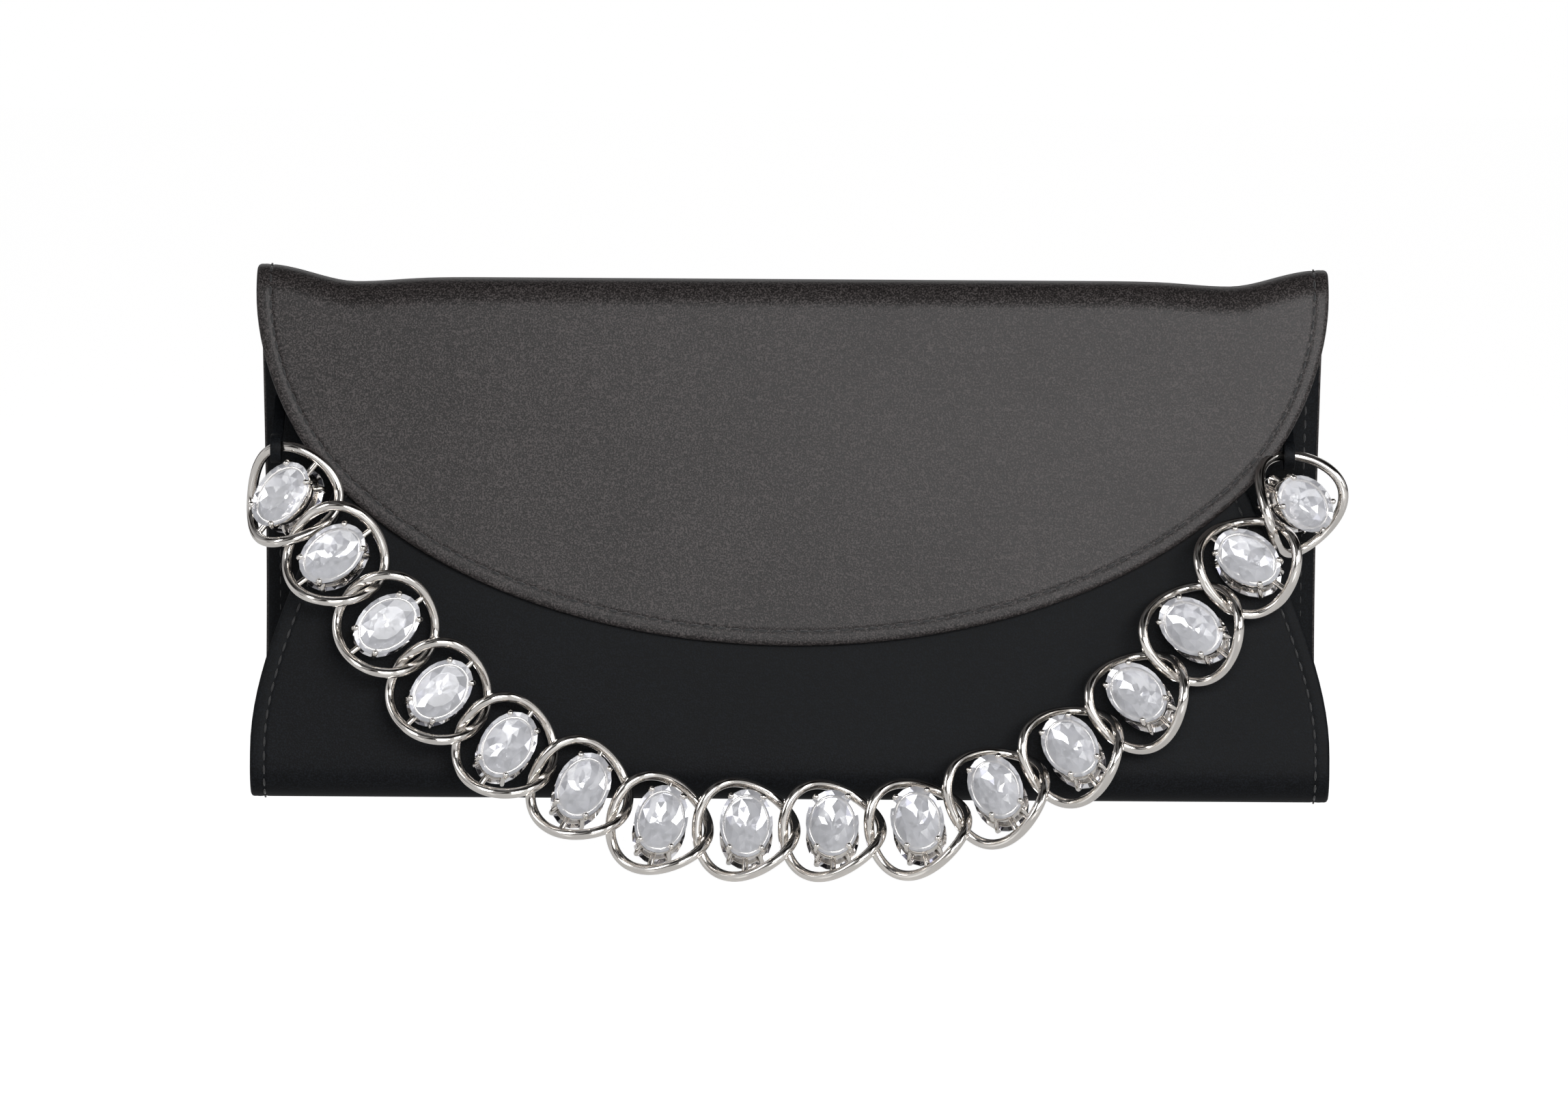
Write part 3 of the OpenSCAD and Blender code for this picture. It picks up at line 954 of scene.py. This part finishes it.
def ribbon_section(points, thickness):
    """A closed outline of a given thickness round a line of plan points."""
    line = np.array(points)
    way = np.gradient(line, axis=0)
    way /= np.linalg.norm(way, axis=1)[:, None]
    side = np.stack([-way[:, 1], way[:, 0]], 1) * thickness / 2
    cap = way * thickness / 2
    return np.concatenate([line + side, [line[-1] + cap[-1]], (line - side)[::-1],
                           [line[0] - cap[0]]])


def loft(name, sections, finishes):
    """A closed skin through rings of points."""
    count, size = len(sections), len(sections[0])
    faces = []
    for i in range(count - 1):
        for j in range(size):
            k = (j + 1) % size
            faces.append([i * size + j, (i + 1) * size + j, (i + 1) * size + k, i * size + k])
    faces.append(list(range(size)))
    faces.append([(count - 1) * size + j for j in reversed(range(size))])
    return mesh_object(name, np.concatenate(sections), faces, finishes)


class BAG_OT_gussets(bpy.types.Operator):
    """Makes the folded satin gussets"""

    bl_idname = "bag.gussets"
    bl_label = "Gussets"

    crease_in = 0.006
    foot, top = 0.0026, 0.110
    levels = 34

    def execute(self, context):
        for side, name in ((1, "gusset_right"), (-1, "gusset_left")):
            self.gusset(context.scene.bag_body, name, side)
        return {"FINISHED"}

    def gusset(self, body, name, side):
        """One gusset: a folded ribbon, lofted from the base to the top."""
        inner = body.satin * 2 + 0.0002
        heights = np.linspace(self.foot, self.top, self.levels)
        sections = []
        for n, z in enumerate(heights):
            depth = float(half_depth(z)) - inner
            edge = float(front_half(z)) - 0.0009
            near = float(min(front_half(z), back_half(z)))
            crease = near - self.crease_in
            rim = max(float(back_half(z)) - 0.0009, crease + 0.002)
            front = np.array([edge, -depth])
            fold = np.array([crease, depth - body.gusset - 0.0006])
            rear = np.array([rim, depth - body.gusset / 2])
            sag = np.array([-0.0006 * math.sin(z * 130), 0.0])
            leaf = [front + (fold - front) * f + sag * math.sin(math.pi * f)
                    for f in np.linspace(0, 0.9, 8)]
            turn = [fold * (1 - f) ** 2 + (fold + (-0.0005, 0.0004)) * 2 * f * (1 - f)
                    + (fold + (rear - fold) * 0.05) * f * f for f in (0.15, 0.4, 0.7, 1.0)]
            flat = [fold + (rear - fold) * f for f in np.linspace(0.14, 1, 8)]
            thin = 0.25 if n in (0, self.levels - 1) else 1.0
            ring = ribbon_section(leaf + turn + flat, body.gusset * thin)
            sections.append(np.stack([side * ring[:, 0], ring[:, 1], np.full(len(ring), z)], 1))
        piece = loft(name + "_satin", sections, ["body_satin"])
        dress(piece, "bag", "satin", name)


class BAG_OT_inside(bpy.types.Operator):
    """Makes the pouch of lining and the slip pocket, and finishes the boards and magnets"""

    bl_idname = "bag.inside"
    bl_label = "Inside"

    side_in = 0.0095
    wall = 0.0006

    def execute(self, context):
        self.pouch(context.scene.bag_body)
        pocket = softened("slip_pocket_twill", "slip_pocket", 0.00022, "lining_twill")
        dress(pocket, "bag", "lining", "slip_pocket")
        boards = ("front_board", "back_board", "base_board")
        for node in boards:
            self.finish(node, "board")
        for node in ("magnet_keeper", "flap_magnet"):
            self.finish(node, "magnet_steel")
        return {"FINISHED"}

    def finish(self, node, finish):
        """Gives a node that stays in sight its finish."""
        piece = frame["nodes"][node]
        piece.data.materials.clear()
        piece.data.materials.append(material(finish))

    def ring(self, body, z, inset):
        """The pouch's rounded outline at a height."""
        gap = body.satin * 2 + 0.0003 + inset
        deep = float(half_depth(z)) - gap
        if z < body.base_fold:
            deep -= 0.004 * (1 - z / body.base_fold)
        wide = float(front_half(z)) - self.side_in - inset
        angles = np.linspace(0, 2 * np.pi, 96, endpoint=False)
        corner = 0.13
        cos, sin = np.cos(angles), np.sin(angles)
        x = wide * np.sign(cos) * np.abs(cos) ** corner
        y = deep * np.sign(sin) * np.abs(sin) ** corner
        slack = 0.0004 * np.sin(x * 90) * step(z, 0.02, 0.1)
        return np.stack([x, y - np.sign(y) * np.abs(slack), np.full(len(x), z)], 1)

    def pouch(self, body):
        """The open pouch: its outer skin, rim and inner skin in one loft."""
        foot, top = LINING_LOW.z, LINING_HIGH.z
        outer = [self.ring(body, z, 0) for z in np.linspace(foot, top - self.wall / 2, 26)]
        rim = [self.ring(body, top, self.wall / 2)]
        inner = [self.ring(body, z, self.wall)
                 for z in np.linspace(top - self.wall / 2, foot + self.wall, 26)]
        piece = loft("lining_pouch", outer + rim + inner, ["lining_twill"])
        dress(piece, "bag", "lining", "lining")


class BAG_OT_tabs(bpy.types.Operator):
    """Makes the satin loops that hold the strap's two ends"""

    bl_idname = "bag.tabs"
    bl_label = "Strap loops"

    def execute(self, context):
        for node in ("tab_left", "tab_right"):
            dress(softened(node + "_satin", node, 0.00025, "body_satin"), "bag", "satin", node)
        return {"FINISHED"}


def stitch_tree():
    """Geometry nodes: a row of thread stitches along a line."""
    made = bpy.data.node_groups.new("stitch_row", "GeometryNodeTree")
    made.interface.new_socket("Line", in_out="INPUT", socket_type="NodeSocketGeometry")
    for name, default in (("Pitch", 0.0033), ("Stitch length", 0.0024), ("Thread radius", 0.0003)):
        made.interface.new_socket(name, in_out="INPUT",
                                  socket_type="NodeSocketFloat").default_value = default
    made.interface.new_socket("Thread", in_out="INPUT", socket_type="NodeSocketMaterial")
    made.interface.new_socket("Stitches", in_out="OUTPUT", socket_type="NodeSocketGeometry")
    tree = Tree(made)
    group = made.nodes.new("NodeGroupInput")
    line, pitch, size, radius, thread_and_hole_shade = (Flow(tree, o) for o in group.outputs[:5])
    curve = tree.add("GeometryNodeMeshToCurve", None, {0: line})
    spots = tree.add("GeometryNodeCurveToPoints", {"mode": "LENGTH"},
                     {"Curve": curve, "Length": pitch})
    turns = Flow(tree, spots.socket.node.outputs["Rotation"])
    bead = tree.add("GeometryNodeMeshUVSphere", None, {"Segments": 6, "Rings": 5, "Radius": 1.0})
    scale = tree.add("ShaderNodeCombineXYZ", None, {0: radius, 1: radius, 2: size * 0.5})
    stitch = tree.add("GeometryNodeTransform", None, {"Geometry": bead, "Scale": scale})
    row = tree.add("GeometryNodeInstanceOnPoints", None,
                   {"Points": spots, "Instance": stitch, "Rotation": turns})
    real = tree.add("GeometryNodeRealizeInstances", None, {0: row})
    smooth = tree.add("GeometryNodeSetShadeSmooth", None, {0: real})
    done = tree.add("GeometryNodeSetMaterial", None, {"Geometry": smooth, "Material": thread_and_hole_shade})
    tree.add("NodeGroupOutput", None, {0: done})
    return made


def lines_object(name, lines):
    """An object whose edges are several lines of points."""
    mesh = bpy.data.meshes.new(name)
    edges, total = [], 0
    for line in lines:
        edges += [(total + k, total + k + 1) for k in range(len(line) - 1)]
        total += len(line)
    mesh.from_pydata([tuple(p) for line in lines for p in line], edges, [])
    made = bpy.data.objects.new(name, mesh)
    bpy.context.scene.collection.objects.link(made)
    return made


def apply_tree(piece, tree, values):
    """Runs a geometry tree on a piece with named inputs, and keeps the result as its mesh."""
    modifier = piece.modifiers.new("tree", "NODES")
    modifier.node_group = tree
    for item in tree.interface.items_tree:
        if item.in_out == "INPUT" and item.name in values:
            modifier[item.identifier] = values[item.name]
    return baked(piece)


class BAG_OT_stitching(bpy.types.Operator):
    """Sews the stitch lines of the panels, gussets and flap"""

    bl_idname = "bag.stitching"
    bl_label = "Stitching"

    sink = -0.00002

    def execute(self, context):
        body = context.scene.bag_body
        tree = stitch_tree()
        values = {"Thread": material("thread_and_hole_shade")}
        front, sheet = front_sheet()
        lines = []
        for side in (-1, 1):
            plan = sheet.line(body.stitch_inset, 0.004, front.leg + front.turn * 0.9, side)
            lines.append(front.place(plan[:, 0], plan[:, 1], self.sink))
        path, sheet = flap_sheet()
        for side in (-1, 1):
            plan = sheet.line(body.stitch_inset, 0.006, path.leg - 0.003, side)
            lines.append(path.place(plan[:, 0], plan[:, 1], self.sink))
            lines.append(self.gusset_line(body, side))
        piece = apply_tree(lines_object("body_stitching", lines), tree, values)
        dress(piece, "bag", "satin")
        plan = sheet.line(body.stitch_inset, path.leg + path.turn * 0.5, 1.0, 0)
        rim = path.place(plan[:, 0], plan[:, 1], self.sink)
        piece = apply_tree(lines_object("flap_stitching", [rim]), tree, values)
        dress(piece, "flap", "satin")
        return {"FINISHED"}

    def gusset_line(self, body, side):
        """The stitches that hold a gusset to the back panel."""
        heights = np.linspace(0.014, 0.108, 40)
        inner = body.satin * 2 + 0.0002 + body.gusset
        return np.array([(side * (float(back_half(z)) - 0.0036),
                          float(half_depth(z)) - inner - 0.00005, z) for z in heights])


# ---- The strap ----

# Direction of each step from the strap's middle towards its end, in degrees
STRAP_BENDS = (2.8, 23, 29.3, 39.2, 51.5, 52)
# Roll of each link's face about the chain, in degrees, middle link first
ROLL_RIGHT = (26, 26, 25, 24, 24, 20, 14)
ROLL_LEFT = (22, 21, 18, 13, 9, 6, 4)
# Centre, chain direction and face direction of the end links
END_RIGHT = ((0.1223, -0.0138, 0.0731), (0.345, 0.316, 0.884), (0.555, -0.828, 0.079))
END_LEFT = ((-0.1221, -0.0135, 0.0731), (0.658, -0.485, -0.576), (-0.402, -0.873, 0.276))
# A claw's curve from the cup over the stone's edge, its round tip, and the claws' angles
CLAW_FOOT, CLAW_SPREAD = (0.0064, 0, 0.0010), (0.0083, 0, 0.0022)
CLAW_CLOSE, CLAW_END = (0.0086, 0, 0.0044), (0.0077, 0, 0.0050)
CLAW_TIP = (0.0076, 0, 0.0050)
CLAW_ANGLES = (60, 120, 240, 300)


def strap_centre(number):
    """Centre of a link, 1 at the left end and 16 at the right."""
    strap, body = bpy.context.scene.bag_strap, bpy.context.scene.bag_body
    if number in (1, LINK_COUNT):
        return np.array((END_LEFT if number == 1 else END_RIGHT)[0])
    lean = body.lean
    steps = number - 9 if number > 8 else 8 - number
    y = (-body.half_depth - math.tan(lean) * (body.base_fold - strap.foot)
         - strap.stand_off / math.cos(lean))
    centre = np.array([strap.pitch / 2, y, strap.foot])
    for bend in np.radians(STRAP_BENDS[:steps]):
        centre = centre + strap.pitch * np.array(
            [math.cos(bend), math.sin(bend) * math.sin(lean), math.sin(bend) * math.cos(lean)])
    return centre * (1 if number > 8 else -1, 1, 1)


def unit(v):
    """The vector at length one."""
    return v / np.linalg.norm(v)


def square_frame(along, face):
    """Matrix whose columns are the chain's direction, the side and the face's direction."""
    along = unit(np.array(along))
    face = np.array(face)
    face = unit(face - np.dot(face, along) * along)
    return np.stack([along, np.cross(face, along), face], 1)


def strap_frame(number):
    """Centre and turn of a link."""
    here = strap_centre(number)
    if number in (1, LINK_COUNT):
        end = END_LEFT if number == 1 else END_RIGHT
        return here, square_frame(end[1], end[2])
    lean = bpy.context.scene.bag_body.lean
    along = unit(here - strap_centre(number - 1)) + unit(strap_centre(number + 1) - here)
    level = square_frame(along, (0, -math.cos(lean), math.sin(lean)))
    roll = math.radians(ROLL_RIGHT[number - 9] if number > 8 else ROLL_LEFT[8 - number])
    return here, square_frame(along, level[:, 2] * math.cos(roll) + level[:, 1] * math.sin(roll))


def link_tree():
    """Geometry nodes: a twisted ring with a two-sided cup and eight prongs on every point."""
    made = bpy.data.node_groups.new("jewelled_link", "GeometryNodeTree")
    made.interface.new_socket("Centres", in_out="INPUT", socket_type="NodeSocketGeometry")
    names = ("Ring radius", "Wire radius", "Rise", "Cup length", "Cup width", "Cup height",
             "Cup wall", "Prong radius", "Ball radius")
    for name in names:
        made.interface.new_socket(name, in_out="INPUT", socket_type="NodeSocketFloat")
    made.interface.new_socket("Plating", in_out="INPUT", socket_type="NodeSocketMaterial")
    made.interface.new_socket("Links", in_out="OUTPUT", socket_type="NodeSocketGeometry")
    tree = Tree(made)
    group = made.nodes.new("NodeGroupInput")
    flows = [Flow(tree, o) for o in group.outputs[:11]]
    centres, ring_radius, wire, rise, cup_l, cup_w, cup_h, wall, prong, ball, plating = flows

    def circle(resolution, radius):
        """A round curve."""
        return tree.add("GeometryNodeCurvePrimitiveCircle", None,
                        {"Resolution": resolution, "Radius": radius})

    def swept(curve, profile):
        """A profile swept along a curve."""
        return tree.add("GeometryNodeCurveToMesh", None,
                        {"Curve": curve, "Profile Curve": profile, "Fill Caps": True})

    turns = 96
    index = tree.add("GeometryNodeInputIndex")
    wave = tree.add("ShaderNodeMath", {"operation": "SINE"}, {0: index * (4 * math.pi / turns)})
    offset = tree.add("ShaderNodeCombineXYZ", None, {2: wave * rise * -1.0})
    bent = tree.add("GeometryNodeSetPosition", None,
                    {"Geometry": circle(turns, ring_radius), "Offset": offset})
    ring = swept(bent, circle(16, wire))

    oval_scale = tree.add("ShaderNodeCombineXYZ", None, {0: cup_w, 1: cup_l, 2: 1.0})
    oval = tree.add("GeometryNodeTransform", None,
                    {"Geometry": circle(56, 1.0), "Scale": oval_scale})
    wall_section = tree.add("GeometryNodeCurvePrimitiveQuadrilateral", None,
                            {"Width": wall, "Height": cup_h * 2})
    cup = swept(oval, wall_section)
    parts = [ring, cup]
    for height in (-1.0, 1.0):
        lift = tree.add("ShaderNodeCombineXYZ", None, {2: cup_h * height})
        rail = tree.add("GeometryNodeTransform", None, {"Geometry": oval, "Translation": lift})
        parts.append(swept(rail, circle(8, wall * 0.75)))

    near = tree.add("ShaderNodeCombineXYZ", None, {1: cup_l})
    far = tree.add("ShaderNodeCombineXYZ", None, {1: ring_radius})
    bar = tree.add("GeometryNodeCurvePrimitiveLine", None, {"Start": near, "End": far})
    for side in (0.0, math.pi):
        rod = tree.add("GeometryNodeTransform", None,
                       {"Geometry": bar, "Rotation": (0.0, 0.0, side)})
        parts.append(swept(rod, circle(12, wire * 0.6)))

    claw = tree.add("GeometryNodeCurvePrimitiveBezierSegment", {"mode": "POSITION"},
                    {"Resolution": 10, "Start": CLAW_FOOT, "Start Handle": CLAW_SPREAD,
                     "End Handle": CLAW_CLOSE, "End": CLAW_END})
    tip = tree.add("GeometryNodeMeshUVSphere", None, {"Segments": 12, "Rings": 8, "Radius": ball})
    tip = tree.add("GeometryNodeTransform", None,
                   {"Geometry": tip, "Translation": CLAW_TIP})
    claw = tree.join(swept(claw, circle(8, prong)), tip)
    for angle in CLAW_ANGLES:
        for flip in (0.0, math.pi):
            turn = (flip, 0.0, math.radians(angle))
            parts.append(tree.add("GeometryNodeTransform", None,
                                  {"Geometry": claw, "Rotation": turn}))
    whole = tree.join(*parts)
    facing = tree.add("GeometryNodeInputNamedAttribute", {"data_type": "QUATERNION"},
                      {"Name": "facing"})
    placed = tree.add("GeometryNodeInstanceOnPoints", None,
                      {"Points": centres, "Instance": whole, "Rotation": facing})
    real = tree.add("GeometryNodeRealizeInstances", None, {0: placed})
    smooth = tree.add("GeometryNodeSetShadeSmooth", None, {0: real})
    done = tree.add("GeometryNodeSetMaterial", None, {"Geometry": smooth, "Material": plating})
    tree.add("NodeGroupOutput", None, {0: done})
    return made


class BAG_OT_strap(bpy.types.Operator):
    """Makes the strap's links, one piece for each pair that swings together"""

    bl_idname = "bag.strap"
    bl_label = "Strap links"

    def execute(self, context):
        strap, stones = context.scene.bag_strap, context.scene.bag_stones
        tree = link_tree()
        values = {"Ring radius": strap.ring_radius, "Wire radius": strap.wire_radius,
                  "Rise": strap.rise, "Cup length": stones.stone_length / 2 * strap.cup_scale,
                  "Cup width": stones.stone_width / 2 * strap.cup_scale,
                  "Cup height": strap.cup_height, "Cup wall": strap.cup_wall,
                  "Prong radius": strap.prong_radius, "Ball radius": strap.ball_radius,
                  "Plating": material("silver_plate")}
        for left in range(1, LINK_COUNT // 2 + 1):
            right = LINK_COUNT + 1 - left
            frames = [strap_frame(left), strap_frame(right)]
            mesh = bpy.data.meshes.new("links")
            mesh.from_pydata([tuple(c) for c, _ in frames], [], [])
            facing = mesh.attributes.new("facing", "QUATERNION", "POINT")
            for k, (_, turn) in enumerate(frames):
                facing.data[k].value = Matrix(turn.tolist()).to_quaternion()
            piece = bpy.data.objects.new(f"rings_{left}_and_{right}", mesh)
            context.scene.collection.objects.link(piece)
            apply_tree(piece, tree, values)
            dress(piece, f"links_{left}_and_{right}", "silver", f"link_{left}", f"link_{right}")
        return {"FINISHED"}


def cut_stone(stones):
    """Points, faces and which faces are foiled, of one oval stone standing on its point."""
    n = stones.sides
    a, b = stones.stone_width / 2, stones.stone_length / 2
    girdle_top = stones.top - stones.crown
    girdle_low = girdle_top - stones.girdle

    def oval(count, share, z, turn=0.0):
        """Points round the stone at a share of its outline."""
        angles = 2 * math.pi * (np.arange(count) + turn) / count
        return [(share * a * math.cos(q), share * b * math.sin(q), z) for q in angles]

    points = oval(n, 0.55, stones.top) + oval(n, 0.78, stones.top - stones.crown * 0.42, 0.5)
    points += oval(2 * n, 1.0, girdle_top) + oval(2 * n, 1.0, girdle_low)
    depth = girdle_low - stones.foot
    steps = ((0.80, 0.26), (0.60, 0.50), (0.40, 0.72), (0.20, 0.90), (0.06, 1.0))
    for k, (share, drop) in enumerate(steps):
        points += oval(n, share, girdle_low - depth * drop, 0.5 * (1 - k % 2))
    table, star, upper, lower, main = 0, n, 2 * n, 4 * n, 6 * n
    faces, foiled = [list(range(n))], [False]

    def add(face, foil=False):
        """Keeps a facet and whether it is foiled."""
        faces.append(face)
        foiled.append(foil)

    for k in range(n):
        m, p = (k + 1) % n, (k - 1) % n
        add([table + m, table + k, star + k])
        add([table + k, star + p, upper + 2 * k, star + k])
        add([star + k, upper + 2 * k, upper + 2 * k + 1])
        add([star + k, upper + 2 * k + 1, upper + 2 * m])
        add([main + k, lower + 2 * k + 1, lower + 2 * k], True)
        add([main + k, lower + 2 * m, lower + 2 * k + 1], True)
        add([main + p, main + k, lower + 2 * k], True)
        for r in range(len(steps) - 1):
            now, below = main + r * n, main + (r + 1) * n
            if r % 2:
                add([below + k, now + m, now + k], True)
                add([below + k, below + m, now + m], True)
            else:
                add([below + k, below + m, now + k], True)
                add([below + m, now + m, now + k], True)
    for k in range(2 * n):
        m = (k + 1) % (2 * n)
        add([upper + k, lower + k, lower + m, upper + m])
    add([len(points) - 1 - k for k in range(n)], True)
    return np.array(points), faces, foiled


class BAG_OT_stones(bpy.types.Operator):
    """Cuts the stones, back to back in every link"""

    bl_idname = "bag.stones"
    bl_label = "Stones"

    def execute(self, context):
        local, faces, foiled = cut_stone(context.scene.bag_stones)
        count = len(local)
        draw = np.random.default_rng(11)
        for left in range(1, LINK_COUNT // 2 + 1):
            right = LINK_COUNT + 1 - left
            points, all_faces, tones = [], [], []
            for number in (left, right):
                centre, turn = strap_frame(number)
                for side in (1, -1):
                    start = len(points) * count
                    points.append(centre + (local * (1, side, side)) @ turn.T)
                    all_faces += [[start + k for k in face] for face in faces]
                    # A random painted reflection for every facet of the foil.
                    tones += list(draw.random(len(faces)))
            piece = mesh_object(f"stones_{left}_and_{right}_cut", np.concatenate(points),
                                all_faces, ["crystal", "stone_foil"], smooth=False)
            for k, face in enumerate(piece.data.polygons):
                face.material_index = 1 if foiled[k % len(faces)] else 0
            shade = piece.data.attributes.new("facet_tone", "FLOAT", "FACE")
            shade.data.foreach_set("value", tones)
            dress(piece, f"links_{left}_and_{right}", "crystal", f"stones_{left}",
                  f"stones_{right}")
        return {"FINISHED"}


class BAG_PT_panel(bpy.types.Panel):
    """Lists the bag's pieces"""

    bl_idname = "BAG_PT_panel"
    bl_label = "Evening Bag"
    bl_space_type = "VIEW_3D"
    bl_region_type = "UI"
    bl_category = "Evening Bag"

    def draw(self, context):
        """One button for each operator."""
        for operator in OPERATORS:
            self.layout.operator(operator.bl_idname)


GROUPS = {"bag_body": BagBody, "bag_flap": BagFlap, "bag_strap": BagStrap,
          "bag_stones": BagStones, "bag_finish": BagFinish, "bag_stage": BagStage}
OPERATORS = (BAG_OT_stage, BAG_OT_front, BAG_OT_flap, BAG_OT_gussets, BAG_OT_inside,
             BAG_OT_tabs, BAG_OT_stitching, BAG_OT_strap, BAG_OT_stones)


def register():
    """Registers the settings, operators and panel."""
    for name, group in GROUPS.items():
        bpy.utils.register_class(group)
        setattr(bpy.types.Scene, name, PointerProperty(type=group))
    for operator in OPERATORS:
        bpy.utils.register_class(operator)
    bpy.utils.register_class(BAG_PT_panel)


def unregister():
    """Takes everything out again."""
    bpy.utils.unregister_class(BAG_PT_panel)
    for operator in reversed(OPERATORS):
        bpy.utils.unregister_class(operator)
    for name, group in GROUPS.items():
        delattr(bpy.types.Scene, name)
        bpy.utils.unregister_class(group)


def main():
    """Builds every piece in order."""
    register()
    bpy.ops.bag.stage()
    bpy.ops.bag.front()
    bpy.ops.bag.flap()
    bpy.ops.bag.gussets()
    bpy.ops.bag.inside()
    bpy.ops.bag.tabs()
    bpy.ops.bag.stitching()
    bpy.ops.bag.strap()
    bpy.ops.bag.stones()
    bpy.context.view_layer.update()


if __name__ == "__main__":
    main()
